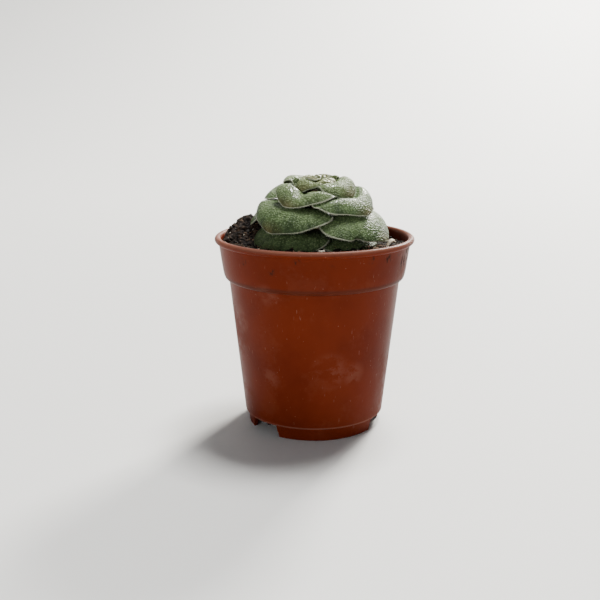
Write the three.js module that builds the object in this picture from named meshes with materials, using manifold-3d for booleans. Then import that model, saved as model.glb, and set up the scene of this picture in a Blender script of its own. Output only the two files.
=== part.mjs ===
// A small potted succulent, Crassula hemisphaerica: a domed rosette of thick, recurved leaves in
// crossed opposite pairs, rooted in gritty soil in a thin moulded plastic nursery pot.
// Millimetres, +Z up. The origin is the middle of the ring on which the pot's feet stand, and the
// view in which the rosette was measured looks along +Y.

import * as THREE from 'three';
import { LoftGeometry } from 'three/addons/geometries/LoftGeometry.js';
import { mergeVertices } from 'three/addons/utils/BufferGeometryUtils.js';
import Module from 'manifold-3d';

const wasm = await Module();
wasm.setup();

// Pot, from the feet up
const POT_HEIGHT = 53.4;
const RIM_RADIUS = 27.5;
const BEAD_RADIUS = 0.85;
const WALL = 0.8;
const COLLAR_TOP_RADIUS = 26.4;
const COLLAR_BOTTOM_RADIUS = 25.3;
const COLLAR_BOTTOM_Z = 43.3;
const BODY_TOP_RADIUS = 23.7;
const BODY_TOP_Z = 41.7;
const BODY_BOTTOM_RADIUS = 19.6;
const BODY_BOTTOM_Z = 3.9;
const FLOOR_UNDER_Z = 2.6;
const FLOOR_TOP_Z = 3.7;
const FOOT_RADIUS = 18.75;
const FOOT_THICKNESS = 1.3;
const POT_SEGMENTS = 64;

// Three drain notches part the foot ring into three feet
const NOTCH_COUNT = 3;
const FIRST_NOTCH_AZIMUTH = -47;
const NOTCH_WIDTH_TOP = 9.4;
const NOTCH_WIDTH_BOTTOM = 11.4;
const DRAIN_INNER_RADIUS = 13.8;

// Soil, with heights from the plane of the pot's rim
const GAP = 0.3;
const SOIL_LEVEL = -2.6;
const SOIL_RISE_TO_FRONT = 0.05;
const SOIL_RINGS = 10;
const SOIL_SECTORS = 40;
const MOUND = { x: -18.2, y: 5, height: 6.6, spread: 4.8 };

// Rosette, with heights from the plane of the pot's rim
const ROSETTE_X = 0.5;
const ROSETTE_Y = 0.5;
const LEAN_TO_FRONT = 4;
const LEAN_TO_RIGHT = 1.5;
const STEM_RADIUS = 1.7;
const STEM_TOP = 12.4;
const LEAF_INNER_RADIUS = STEM_RADIUS + GAP + 0.2;
const LEAF_ROWS = 9;
const LEAF_COLUMNS = 7;
const EDGE_THICKNESS = 0.7;

// The pairs of opposite leaves, youngest first, each a quarter turn from the last. azimuth is the front
// leaf's, base the blade's height at the stem, ridge and tip the radius and height where it turns down
// and where it ends, width the half width as a share of the length, skew how much wider the right flank
// is, point how blunt the tip, droop and roll how far the flanks drop, thick the fullness at the middle.
// A nudge shifts the blade softly up and out about a turn in degrees and a share along the blade's line.
const nudge = (turn, up, out = 0, spread = 20, along = 0.7, reach = 0.5) => (
  { turn, up, out, spread, along, reach }
);
const PAIRS = [
  { azimuth: -40, base: 13.4, ridge: [3.6, 15.5], tip: [6.9, 13.2], width: 0.75, skew: 0.1,
    point: 0.8, droop: 0.4, roll: -1.0, thick: 1.3, backTip: [6.6, 13.4],
    nudges: [nudge(-8, -0.7, 0.2, 16, 1), nudge(38, 0.4, 0, 18)],
    backNudges: [nudge(-42, 1.0, 0.5, 24, 0.9, 0.6)] },
  { azimuth: 59, base: 11.8, ridge: [6.5, 14.6], tip: [11.0, 12.2], width: 0.68, skew: -0.12,
    point: 0.73, droop: 0.3, roll: -1.2, thick: 1.8, backTip: [10.4, 12.9],
    nudges: [nudge(-52, 0.9, 0, 20, 0.8), nudge(36, 0.6, 0.2, 26, 0.4), nudge(4, -0.4, 0, 16, 1, 0.4)] },
  { azimuth: -34, base: 10.2, ridge: [10.0, 12.8], tip: [14.8, 9.6], width: 0.63, skew: 0.2,
    point: 0.78, droop: 0.2, roll: 1.0, thick: 2.0, backTip: [14, 9.4],
    nudges: [nudge(-28, 0.9, 0, 24, 0.55), nudge(9, -1.4, 0, 9, 0.55, 0.3), nudge(36, 1.7, 0, 22, 0.85)] },
  { azimuth: 55, base: 8.4, ridge: [10.2, 12.2], tip: [16.7, 7.8], width: 0.69, skew: -0.15,
    point: 0.73, droop: 0.5, roll: 0.4, thick: 2.2, backTip: [16.2, 8.6],
    nudges: [nudge(-60, 1, 0, 17, 0.85), nudge(34, 1.3, 0, 22, 0.6), nudge(-4, -0.9, 0, 20, 0.5, 0.35)],
    backNudges: [nudge(26, -0.8, 0, 22, 0.7)] },
  { azimuth: -41, base: 6.4, ridge: [12.7, 7.9], tip: [19.0, 3.3], width: 0.64, skew: 0.08,
    point: 0.71, droop: 0.4, roll: 1.1, thick: 2.4, backTip: [18.4, 3.4],
    nudges: [nudge(-40, 1.6, 0, 20, 0.6), nudge(48, 1.3, 0, 18, 0.8, 0.6), nudge(4, 0.8, 0, 26, 0.5, 0.3)] },
  { azimuth: 64, base: 4.2, ridge: [12.8, 6.4], tip: [20.9, 1.3], width: 0.62, skew: -0.18,
    point: 0.67, droop: 0.5, roll: -1.1, thick: 2.4, backTip: [19.8, -1.7],
    nudges: [nudge(-46, 0.6, 0, 22, 0.85), nudge(8, -0.9, 0.2, 14, 1, 0.4), nudge(-14, 0.9, 0, 30, 0.5, 0.3)] },
  { azimuth: -43, base: 1.9, ridge: [13.4, 1.8], tip: [19.3, -3.4], width: 0.62, skew: 0.06,
    point: 0.68, droop: 0.5, roll: -0.4, thick: 2.2, backTip: [19, -3.2] },
  { azimuth: 55, base: 0.1, ridge: [12.8, 0.3], tip: [18.8, -2.4], width: 0.62, skew: 0,
    point: 0.68, droop: 0.4, roll: 0, thick: 1.8, backTip: [18.4, -3] },
];

// The heart's closed young leaves, fused into one head
const HEART_PAIRS = [
  { azimuth: 47, base: 14.0, ridge: [2.6, 15.7], tip: [5.2, 14.6], width: 0.7, skew: 0,
    point: 0.7, droop: 0.2, roll: 0, thick: 0.6 },
  { azimuth: -38, base: 14.6, ridge: [1.5, 16.0], tip: [3.4, 15.5], width: 0.66, skew: 0,
    point: 0.7, droop: 0.1, roll: 0, thick: 0.4 },
];
const HEART_CORE_RADIUS = 1.3;
const HEART_CORE_TOP = 16.0;
const HEART_INNER_RADIUS = 0.7;
const HEART_ROWS = 6;
const HEART_COLUMNS = 5;

// Roots: one tap root with laterals let into it
const TAP_ROOT_DEPTH = 27;
const LATERAL_ROOTS = 6;

const radians = THREE.MathUtils.degToRad;

// Solids and geometries

function solidOf(geometry) {
  const bare = new THREE.BufferGeometry();
  bare.setAttribute('position', geometry.attributes.position);
  bare.setIndex(geometry.index);
  const merged = mergeVertices(bare, 1e-4);
  return new wasm.Manifold(new wasm.Mesh({
    numProp: 3,
    vertProperties: new Float32Array(merged.attributes.position.array),
    triVerts: new Uint32Array(merged.index.array),
  }));
}

function geometryOf(solid) {
  const mesh = solid.getMesh();
  const positions = new Float32Array(mesh.numVert * 3);
  for (let i = 0; i < mesh.numVert; i++) {
    positions.set(mesh.vertProperties.subarray(i * mesh.numProp, i * mesh.numProp + 3), i * 3);
  }
  const geometry = new THREE.BufferGeometry();
  geometry.setAttribute('position', new THREE.BufferAttribute(positions, 3));
  geometry.setIndex(new THREE.BufferAttribute(new Uint32Array(mesh.triVerts), 1));
  geometry.computeVertexNormals();
  return geometry;
}

function lathe(profile, segments) {
  const points = profile.map(([radius, z]) => new THREE.Vector2(radius, z));
  return new THREE.LatheGeometry(points, segments).rotateX(Math.PI / 2);
}

// Azimuth 0 faces the viewer, -Y, and positive azimuths turn towards +X.
function towards(azimuth) {
  return new THREE.Vector3(Math.sin(radians(azimuth)), -Math.cos(radians(azimuth)), 0);
}

// Pot

function beadArc(fromDegrees, toDegrees, steps) {
  const centre = [RIM_RADIUS - BEAD_RADIUS, POT_HEIGHT - BEAD_RADIUS];
  return Array.from({ length: steps + 1 }, (_, i) => {
    const turn = radians(fromDegrees + ((toDegrees - fromDegrees) * i) / steps);
    return [centre[0] + BEAD_RADIUS * Math.cos(turn), centre[1] + BEAD_RADIUS * Math.sin(turn)];
  });
}

function potProfile() {
  return [
    [0, FLOOR_UNDER_Z],
    [FOOT_RADIUS - FOOT_THICKNESS - 0.2, FLOOR_UNDER_Z],
    [FOOT_RADIUS - FOOT_THICKNESS, 0],
    [FOOT_RADIUS - 0.2, 0],
    [FOOT_RADIUS, BODY_BOTTOM_Z - 0.3],
    [BODY_BOTTOM_RADIUS - 0.2, BODY_BOTTOM_Z - 0.2],
    [BODY_BOTTOM_RADIUS, BODY_BOTTOM_Z + 0.1],
    [BODY_TOP_RADIUS, BODY_TOP_Z],
    [BODY_TOP_RADIUS + 0.65, BODY_TOP_Z + 0.15],
    [COLLAR_BOTTOM_RADIUS - 0.4, BODY_TOP_Z + 0.6],
    [COLLAR_BOTTOM_RADIUS - 0.1, COLLAR_BOTTOM_Z - 0.1],
    [COLLAR_BOTTOM_RADIUS + 0.06, COLLAR_BOTTOM_Z + 0.9],
    [COLLAR_TOP_RADIUS, POT_HEIGHT - 2 * BEAD_RADIUS],
    ...beadArc(-70, 150, 8),
    [COLLAR_TOP_RADIUS - WALL, POT_HEIGHT - 1.6],
    [COLLAR_BOTTOM_RADIUS - WALL, COLLAR_BOTTOM_Z + 0.3],
    [BODY_TOP_RADIUS - WALL, BODY_TOP_Z - 0.2],
    [BODY_BOTTOM_RADIUS - WALL + 0.1, FLOOR_TOP_Z + 0.5],
    [BODY_BOTTOM_RADIUS - WALL - 0.4, FLOOR_TOP_Z],
    [0, FLOOR_TOP_Z],
  ];
}

// A bar that runs outwards from innerRadius past the foot ring, wider at the bottom.
function radialCutter(azimuth, innerRadius, outerRadius, widthBottom, widthTop, bottomZ, topZ) {
  const section = new THREE.Shape([
    new THREE.Vector2(-widthBottom / 2, bottomZ),
    new THREE.Vector2(widthBottom / 2, bottomZ),
    new THREE.Vector2(widthTop / 2, topZ),
    new THREE.Vector2(-widthTop / 2, topZ),
  ]);
  const bar = new THREE.ExtrudeGeometry(section, { depth: outerRadius - innerRadius, bevelEnabled: false });
  bar.rotateX(Math.PI / 2).translate(0, -innerRadius, 0);
  return bar.rotateZ(radians(azimuth));
}

function makePot() {
  let pot = solidOf(lathe(potProfile(), POT_SEGMENTS));
  for (let i = 0; i < NOTCH_COUNT; i++) {
    const azimuth = FIRST_NOTCH_AZIMUTH + (360 / NOTCH_COUNT) * i;
    const notch = radialCutter(azimuth, 12, 22, NOTCH_WIDTH_BOTTOM, NOTCH_WIDTH_TOP, -1, FLOOR_UNDER_Z);
    const drain = radialCutter(
      azimuth, DRAIN_INNER_RADIUS, FOOT_RADIUS - 0.6, NOTCH_WIDTH_TOP, NOTCH_WIDTH_TOP, 1, FLOOR_TOP_Z + 1,
    );
    const mouth = radialCutter(
      azimuth, DRAIN_INNER_RADIUS + 2, 22, NOTCH_WIDTH_TOP, NOTCH_WIDTH_TOP, 1, BODY_BOTTOM_Z - 0.4,
    );
    for (const cutter of [notch, drain, mouth]) pot = pot.subtract(solidOf(cutter));
  }
  return pot;
}

// Leaves

// The blade's line from the stem up to its ridge and down to its tip, as radius and height.
function bladeLine(inner, base, ridge, tip) {
  const start = new THREE.Vector2(inner, base);
  const crest = new THREE.Vector2(...ridge);
  const end = new THREE.Vector2(...tip);
  const out = end.x - crest.x;
  const down = crest.y - end.y;
  const line = new THREE.CurvePath();
  const rise = new THREE.Vector2((start.x + crest.x) / 2, crest.y);
  line.add(new THREE.QuadraticBezierCurve(start, rise, crest));
  line.add(new THREE.CubicBezierCurve(
    crest,
    new THREE.Vector2(crest.x + out * 0.5, crest.y),
    new THREE.Vector2(end.x - out * 0.22, end.y + down * 0.38),
    end,
  ));
  return line;
}

// Half the blade's width at a share of its length, as a share of the widest.
function outline(share, point) {
  const widest = 0.42;
  if (share < widest) return 0.45 + 0.55 * Math.sin((Math.PI / 2) * (share / widest));
  return Math.pow(1 - ((share - widest) / (1 - widest)) ** 2, point);
}

// A closed blade: flat outline positions are wrapped round the dome that the blade's line sweeps.
// grow swells it on every side, for the room that an older leaf under it must leave free.
function makeLeaf(leaf, azimuth, tip, nudges, inner, grow = 0, rows = LEAF_ROWS, columns = LEAF_COLUMNS) {
  const line = bladeLine(inner, leaf.base, leaf.ridge, tip);
  const length = line.getLength();
  const place = (along, across, lift) => {
    const reach = Math.hypot(along + inner, across);
    const turn = Math.atan2(across, along + inner);
    const share = Math.min(1, (reach - inner) / length);
    const at = line.getPointAt(share);
    const heading = line.getTangentAt(share);
    const drop = (leaf.droop * turn + leaf.roll) * turn * share;
    let radius = at.x - heading.y * lift;
    let height = at.y + heading.x * lift - drop;
    for (const shift of nudges) {
      const aside = (THREE.MathUtils.radToDeg(turn) - shift.turn) / shift.spread;
      const beyond = (share - shift.along) / shift.reach;
      const near = Math.exp(-(aside ** 2) - beyond ** 2) * Math.min(1, (along / length) * 4);
      radius += shift.out * near;
      height += shift.up * near;
    }
    return new THREE.Vector3(radius * Math.cos(turn), radius * Math.sin(turn), height);
  };
  const sections = [];
  for (let i = 0; i <= rows; i++) {
    const share = 1 - Math.pow(1 - i / rows, 1.6);
    const width = Math.max(0.35, leaf.width * length * outline(Math.min(share, 0.998), leaf.point)) + grow;
    const fullness = Math.min(1, 0.25 + share * 2) * (1 - share ** 3) ** 0.7;
    const ring = [];
    for (const side of [1, -1]) {
      for (let j = 0; j <= columns; j++) {
        const across = side * (1 - (2 * j) / columns);
        const belly = leaf.thick * fullness * (1 - Math.abs(across) ** 2.4) ** 0.8;
        const lift = side * (EDGE_THICKNESS / 2 + grow + belly / 2);
        const skewed = across * width * (1 + leaf.skew * Math.sign(across));
        ring.push(place(share * (length + grow), skewed, lift));
      }
    }
    sections.push(ring);
  }
  const blade = new LoftGeometry(sections, { capStart: true, capEnd: true });
  return blade.rotateZ(radians(azimuth - 90));
}

function leanRosette(solid) {
  const lean = new THREE.Matrix4()
    .makeTranslation(ROSETTE_X, ROSETTE_Y, POT_HEIGHT)
    .multiply(new THREE.Matrix4().makeRotationY(radians(LEAN_TO_RIGHT)))
    .multiply(new THREE.Matrix4().makeRotationX(radians(LEAN_TO_FRONT)));
  return solid.transform(lean.elements);
}

function makeHeart(grow = 0) {
  const core = lathe([
    [0, STEM_TOP + GAP - grow],
    [HEART_CORE_RADIUS + 0.4 + grow, STEM_TOP + GAP - grow],
    [HEART_CORE_RADIUS + 0.3 + grow, STEM_TOP + 2 + grow],
    [0.6 + grow, HEART_CORE_TOP + grow],
    [0, HEART_CORE_TOP + 0.2 + grow],
  ], 16);
  let heart = solidOf(core);
  for (const pair of HEART_PAIRS) {
    for (const turn of [0, 180]) {
      const azimuth = pair.azimuth + turn;
      const leaf = makeLeaf(
        pair, azimuth, pair.tip, [], HEART_INNER_RADIUS, grow, HEART_ROWS, HEART_COLUMNS,
      );
      heart = heart.add(solidOf(leaf));
    }
  }
  return leanRosette(heart);
}

function largestPiece(solid) {
  return solid.decompose().reduce((best, piece) => (piece.volume() > best.volume() ? piece : best));
}

// Each leaf gives way to every younger one that lies over it.
function makeLeaves(heartRoom) {
  const younger = [heartRoom];
  const leaves = [];
  PAIRS.forEach((pair, index) => {
    const sides = [
      ['front', 0, pair.tip, pair.nudges ?? []],
      ['back', 180, pair.backTip, pair.backNudges ?? []],
    ];
    for (const [side, turn, tip, nudges] of sides) {
      const azimuth = pair.azimuth + turn;
      const blade = leanRosette(solidOf(makeLeaf(pair, azimuth, tip, nudges, LEAF_INNER_RADIUS)));
      const fitted = younger.reduce((left, over) => left.subtract(over), blade);
      leaves.push({ name: `leaf_pair_${index + 1}_${side}`, solid: largestPiece(fitted) });
      younger.push(leanRosette(solidOf(makeLeaf(pair, azimuth, tip, nudges, LEAF_INNER_RADIUS, GAP))));
    }
  });
  return { leaves, room: younger };
}

// Stem and roots

function taperedLimb(points, radii, sides) {
  const curve = new THREE.CatmullRomCurve3(points);
  const sections = radii.map((radius, i) => {
    const at = curve.getPointAt(i / (radii.length - 1));
    const heading = curve.getTangentAt(i / (radii.length - 1));
    const across = new THREE.Vector3(0.6, 0.8, 0.1).cross(heading).normalize();
    const over = new THREE.Vector3().crossVectors(heading, across);
    return Array.from({ length: sides }, (_, k) => {
      const turn = (2 * Math.PI * k) / sides;
      const rim = at.clone().addScaledVector(across, radius * Math.cos(turn));
      return rim.addScaledVector(over, radius * Math.sin(turn));
    });
  });
  return new LoftGeometry(sections, { capStart: true, capEnd: true });
}

function makeStemAndRoots(grow = 0) {
  const stemTop = new THREE.Vector3(0, 0, STEM_TOP + grow);
  const stem = leanRosette(solidOf(taperedLimb(
    [new THREE.Vector3(0, 0, -4), new THREE.Vector3(0, 0, 4), stemTop],
    [STEM_RADIUS + grow, STEM_RADIUS + grow, STEM_RADIUS + grow],
    16,
  )));
  const tap = solidOf(taperedLimb(
    [
      new THREE.Vector3(ROSETTE_X, ROSETTE_Y + 0.2, POT_HEIGHT - 2.5),
      new THREE.Vector3(1.4, -0.2, POT_HEIGHT - 14),
      new THREE.Vector3(-0.6, 0.8, POT_HEIGHT - TAP_ROOT_DEPTH - grow),
    ],
    [1.75, 1.5, 1.15, 0.8, 0.45].map((radius) => radius + grow),
    10,
  ));
  let roots = stem.add(tap);
  for (let i = 0; i < LATERAL_ROOTS; i++) {
    const out = towards(20 + (360 / LATERAL_ROOTS) * i + 9 * Math.sin(i * 2.1));
    const start = POT_HEIGHT - 6 - 2.2 * i;
    const reach = 11 + 2.5 * Math.cos(i * 1.7) + grow;
    roots = roots.add(solidOf(taperedLimb(
      [
        new THREE.Vector3(0.9, 0.2, start),
        out.clone().multiplyScalar(reach * 0.55).setZ(start - 3.5),
        out.clone().multiplyScalar(reach).setZ(start - 10 - grow),
      ],
      [0.85, 0.7, 0.55, 0.4].map((radius) => radius + grow),
      8,
    )));
  }
  return roots;
}

// Soil

function soilHeight(x, y) {
  const away = Math.hypot(x - MOUND.x, y - MOUND.y) / MOUND.spread;
  const mound = MOUND.height * Math.exp(-away * away / 2);
  const clumps = 0.35 * Math.sin(0.9 * x + 1.3) * Math.cos(0.8 * y) + 0.25 * Math.sin(1.7 * x - 1.1 * y);
  return SOIL_LEVEL - SOIL_RISE_TO_FRONT * y + mound + clumps;
}

function wallInside(z) {
  const along = (z - FLOOR_TOP_Z) / (BODY_TOP_Z - FLOOR_TOP_Z);
  if (z < BODY_TOP_Z) {
    return THREE.MathUtils.lerp(BODY_BOTTOM_RADIUS - WALL, BODY_TOP_RADIUS - WALL, along) - GAP - 0.1;
  }
  const up = Math.min(1, (z - COLLAR_BOTTOM_Z) / (POT_HEIGHT - 1.6 - COLLAR_BOTTOM_Z));
  const collar = THREE.MathUtils.lerp(COLLAR_BOTTOM_RADIUS, COLLAR_TOP_RADIUS, Math.max(0, up)) - WALL;
  return (z < COLLAR_BOTTOM_Z ? BODY_TOP_RADIUS - WALL : collar) - GAP - 0.1;
}

function makeSoil() {
  const ring = (radiusAt, heightAt) => Array.from({ length: SOIL_SECTORS }, (_, k) => {
    const turn = (2 * Math.PI * k) / SOIL_SECTORS;
    const radius = radiusAt(turn);
    const [x, y] = [radius * Math.cos(turn), radius * Math.sin(turn)];
    return new THREE.Vector3(x, y, heightAt(x, y));
  });
  const level = (radius, z) => ring(() => radius, () => z);
  const sections = [
    level(wallInside(FLOOR_TOP_Z) - 0.6, FLOOR_TOP_Z + GAP),
    level(wallInside(FLOOR_TOP_Z + 1), FLOOR_TOP_Z + 1),
    level(wallInside(BODY_TOP_Z - 0.6), BODY_TOP_Z - 0.6),
    level(wallInside(COLLAR_BOTTOM_Z + 0.6), COLLAR_BOTTOM_Z + 0.8),
  ];
  const edge = wallInside(POT_HEIGHT - 3) - 0.05;
  for (let i = 0; i <= SOIL_RINGS; i++) {
    const radius = edge * (1 - i / SOIL_RINGS);
    sections.push(ring(() => radius, (x, y) => POT_HEIGHT + soilHeight(x, y)));
  }
  return solidOf(new LoftGeometry(sections, { capStart: true }));
}

// The dry scrap of a dead leaf beside the lowest right leaf
function makeScrap(grow = 0) {
  const points = [[0, 0, 0], [1.2, 0.5, 1.1], [2.3, 1.4, 1.3], [3.2, 2.6, 0.5]];
  const sections = points.map(([x, y, z], i) => {
    const half = [0.5, 1.1, 1.0, 0.5][i] + grow;
    const thick = 0.35 + grow;
    return [[half, -thick], [half, thick], [-half, thick], [-half, -thick]].map(
      ([across, up]) => new THREE.Vector3(x - across * 0.5, y + across * 0.85, z + up),
    );
  });
  const scrap = new LoftGeometry(sections, { capStart: true, capEnd: true });
  return solidOf(scrap).translate(19.4, -7.6, POT_HEIGHT - 1.6);
}

// The whole

const COLOURS = {
  pot: 0x9c4526, soil: 0x2b211b, root: 0xb9a284, leaf: 0x6f8a5c, heart: 0x8f9f68, scrap: 0xcdbb98,
};

function addMesh(group, name, solid, colour, roughness) {
  const material = new THREE.MeshStandardMaterial({ color: colour, roughness, metalness: 0 });
  const mesh = new THREE.Mesh(geometryOf(solid), material);
  mesh.name = name;
  group.add(mesh);
}

const root = new THREE.Group();
root.name = 'potted_crassula';
const { leaves, room } = makeLeaves(makeHeart(GAP));
let soil = makeSoil().subtract(makeStemAndRoots(GAP)).subtract(makeScrap(GAP));
for (const over of room) soil = soil.subtract(over);

addMesh(root, 'pot', makePot(), COLOURS.pot, 0.45);
addMesh(root, 'soil', largestPiece(soil), COLOURS.soil, 0.95);
addMesh(root, 'stem_and_roots', makeStemAndRoots(), COLOURS.root, 0.8);
addMesh(root, 'heart', makeHeart(), COLOURS.heart, 0.5);
for (const leaf of leaves) addMesh(root, leaf.name, leaf.solid, COLOURS.leaf, 0.5);
addMesh(root, 'withered_scrap', makeScrap(), COLOURS.scrap, 0.9);

export default root;
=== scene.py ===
"""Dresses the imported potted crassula: a rosette of pebbled leaves, its soil and its nursery pot.

Lengths are millimetres, which turn into metres as meshes are made, but the studio's sizes and the
coordinates that materials read are in metres. Heights in the rosette and in the soil count from the
plane of the pot's rim. Azimuth 0 faces the viewer, and positive azimuths turn to the right.
"""

import logging
import math
import random
from collections.abc import Sequence
from dataclasses import dataclass, field, replace
from enum import Enum
from typing import ClassVar

import bmesh
import bpy
import numpy as np
from mathutils import Matrix, Vector, noise
from mathutils.bvhtree import BVHTree


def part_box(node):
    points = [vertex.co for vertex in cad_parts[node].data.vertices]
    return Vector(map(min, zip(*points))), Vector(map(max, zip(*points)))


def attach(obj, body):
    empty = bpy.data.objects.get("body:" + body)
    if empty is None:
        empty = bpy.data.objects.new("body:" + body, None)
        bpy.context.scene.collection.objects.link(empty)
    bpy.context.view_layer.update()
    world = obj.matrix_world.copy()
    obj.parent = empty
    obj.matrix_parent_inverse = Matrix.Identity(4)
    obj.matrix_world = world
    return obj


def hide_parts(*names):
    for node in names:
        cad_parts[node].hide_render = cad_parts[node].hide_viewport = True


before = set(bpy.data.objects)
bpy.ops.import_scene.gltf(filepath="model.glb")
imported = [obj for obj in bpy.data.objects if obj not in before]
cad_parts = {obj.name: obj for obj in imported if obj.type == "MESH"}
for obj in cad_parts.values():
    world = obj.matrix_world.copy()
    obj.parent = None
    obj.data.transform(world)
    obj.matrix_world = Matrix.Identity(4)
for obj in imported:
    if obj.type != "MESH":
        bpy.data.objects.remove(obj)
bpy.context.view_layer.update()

LOG = logging.getLogger("potted_crassula")
MM = 0.001
POT_LOW, POT_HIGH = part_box("pot")
POT_HEIGHT = POT_HIGH.z / MM
RIM_RADIUS = POT_HIGH.x / MM

Point2 = tuple[float, float]
Point3 = tuple[float, float, float]
Colour = tuple[float, float, float]
Faces = list[tuple[int, ...]]
SmallShape = tuple[np.ndarray, np.ndarray]
Placement = tuple[int, Matrix]
Socket = bpy.types.NodeSocket
Value = float | Sequence[float] | Socket


class Slot(Enum):
    """The record's material slots."""

    POT = "pot_plastic"
    SOIL = "potting_soil"
    ROOT = "stem_and_root"
    YOUNG = "young_leaf"
    LEAF = "leaf"
    DRY = "dry_leaf"


# Small helpers for meshes


def compass(azimuth: float) -> Vector:
    """Gives the level unit vector that points towards an azimuth in degrees."""
    return Vector((math.sin(math.radians(azimuth)), -math.cos(math.radians(azimuth)), 0))


def lerp(low: float, high: float, share: float) -> float:
    """Gives the value at a share of the way from low to high."""
    return low + (high - low) * share


def make_piece(name: str, points: np.ndarray, faces: Sequence[Sequence[int]]) -> bpy.types.Object:
    """Makes a smooth-shaded mesh object.

    Args:
        name: The piece's name.
        points: Vertex positions in millimetres, one row each.
        faces: Vertex numbers of each face, outward side counter-clockwise.

    Returns:
        The object, linked to the scene, with its mesh in metres.
    """
    mesh = bpy.data.meshes.new(name)
    mesh.from_pydata((np.asarray(points, float) * MM).tolist(), [], faces)
    mesh.validate()
    mesh.polygons.foreach_set("use_smooth", [True] * len(mesh.polygons))
    piece = bpy.data.objects.new(name, mesh)
    bpy.context.scene.collection.objects.link(piece)
    return piece


def crease(piece: bpy.types.Object, degrees: float) -> None:
    """Marks the mesh edges that bend more than an angle as sharp.

    Args:
        piece: The mesh object.
        degrees: The bend above which an edge stays crisp.
    """
    mesh = bmesh.new()
    mesh.from_mesh(piece.data)
    limit = math.radians(degrees)
    for edge in mesh.edges:
        edge.smooth = len(edge.link_faces) == 2 and edge.calc_face_angle(0) < limit
    mesh.to_mesh(piece.data)
    mesh.free()


def write_attribute(piece: bpy.types.Object, name: str, values: np.ndarray) -> None:
    """Stores one number per vertex for the piece's material to read.

    Args:
        piece: The mesh object.
        name: The attribute's name.
        values: One value per vertex.
    """
    attribute = piece.data.attributes.new(name, "FLOAT", "POINT")
    attribute.data.foreach_set("value", np.asarray(values, np.float32).ravel())


def fit(piece: bpy.types.Object, slot: Slot, material: bpy.types.Material, *nodes: str) -> bpy.types.Object:
    """Gives a piece its finish, its body and the solids that it stands for.

    Args:
        piece: The finished mesh object.
        slot: The record's material slot; not used.
        material: The piece's material.
        nodes: The names of the solids that the piece replaces.

    Returns:
        The same piece.
    """
    piece.data.materials.clear()
    piece.data.materials.append(material)
    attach(piece, "root")
    if nodes:
        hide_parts(*nodes)
    return piece


def lathe(name: str, profile: Sequence[Point2], segments: int) -> bpy.types.Object:
    """Turns a closed outline about the vertical axis.

    Args:
        name: The piece's name.
        profile: Radius and height pairs, from the axis round the outside and back to the axis.
        segments: The number of steps round the axis.

    Returns:
        The turned object.
    """
    inner = profile[1:-1]
    turns = [2 * math.pi * k / segments for k in range(segments)]
    points = [(r * math.cos(t), r * math.sin(t), z) for r, z in inner for t in turns]
    first, last = len(points), len(points) + 1
    points += [(0, 0, profile[0][1]), (0, 0, profile[-1][1])]
    faces = []
    for row in range(len(inner) - 1):
        for k in range(segments):
            n = (k + 1) % segments
            low, high = row * segments, (row + 1) * segments
            faces.append((low + k, low + n, high + n, high + k))
    top = (len(inner) - 1) * segments
    for k in range(segments):
        n = (k + 1) % segments
        faces.append((first, n, k))
        faces.append((last, top + k, top + n))
    return make_piece(name, np.array(points), faces)


def rounded(corners: Sequence[Point3], steps: int = 4) -> list[Point2]:
    """Rounds the corners of an outline.

    Args:
        corners: Radius, height and fillet size of each corner, in order.
        steps: The number of chords in each fillet.

    Returns:
        The outline's points.
    """
    outline: list[Point2] = []
    for i, (x, y, size) in enumerate(corners):
        if size <= 0 or i in (0, len(corners) - 1):
            outline.append((x, y))
            continue
        here = Vector((x, y))
        before = Vector(corners[i - 1][:2]) - here
        after = Vector(corners[i + 1][:2]) - here
        start = here + before.normalized() * min(size, before.length * 0.45)
        end = here + after.normalized() * min(size, after.length * 0.45)
        for k in range(steps + 1):
            t = k / steps
            at = start * (1 - t) ** 2 + here * (2 * t * (1 - t)) + end * t**2
            outline.append((at.x, at.y))
    return outline


def cut_away(piece: bpy.types.Object, cutters: Sequence[bpy.types.Object]) -> None:
    """Cuts solids out of a piece and removes the cutters.

    Args:
        piece: The piece to cut.
        cutters: Closed mesh objects.
    """
    for cutter in cutters:
        step = piece.modifiers.new("cut", "BOOLEAN")
        step.operation = "DIFFERENCE"
        step.solver = "EXACT"
        step.object = cutter
    depsgraph = bpy.context.evaluated_depsgraph_get()
    piece_mesh = bpy.data.meshes.new_from_object(piece.evaluated_get(depsgraph))
    piece.modifiers.clear()
    piece.data = piece_mesh
    for cutter in cutters:
        bpy.data.objects.remove(cutter)


def facing_sheets(rows: int, columns: int) -> Faces:
    """Joins two facing grids of vertices into one closed skin.

    Args:
        rows: The rows of each grid.
        columns: The columns of each grid.

    Returns:
        The faces, which count the upper grid's vertices first and then the lower grid's.
    """
    count = rows * columns
    number = np.arange(count).reshape(rows, columns)
    faces: Faces = []
    for grid, flip in ((number, False), (number + count, True)):
        quads = np.stack((grid[:-1, :-1], grid[1:, :-1], grid[1:, 1:], grid[:-1, 1:]), -1).reshape(-1, 4)
        faces += [tuple(q[::-1] if flip else q) for q in quads.tolist()]
    rim = [*number[0, :], *number[1:, -1], *number[-1, -2::-1], *number[-2:0:-1, 0]]
    for a, b in zip(rim, rim[1:] + rim[:1]):
        faces.append((int(a), int(b), int(b) + count, int(a) + count))
    return faces


def merge_copies(
    name: str, shapes: Sequence[SmallShape], places: Sequence[Placement]
) -> bpy.types.Object:
    """Makes one piece out of many placed copies of a few small shapes.

    Args:
        name: The piece's name.
        shapes: Each shape's vertices and triangles.
        places: For each copy, the shape's number and its matrix in millimetres.

    Returns:
        The joined object.
    """
    all_points, all_faces, count = [], [], 0
    for number, matrix in places:
        points, faces = shapes[number]
        grid = np.array(matrix)
        all_points.append(points @ grid[:3, :3].T + grid[:3, 3])
        all_faces.append(faces + count)
        count += len(points)
    return make_piece(name, np.vstack(all_points), np.vstack(all_faces).tolist())


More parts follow.
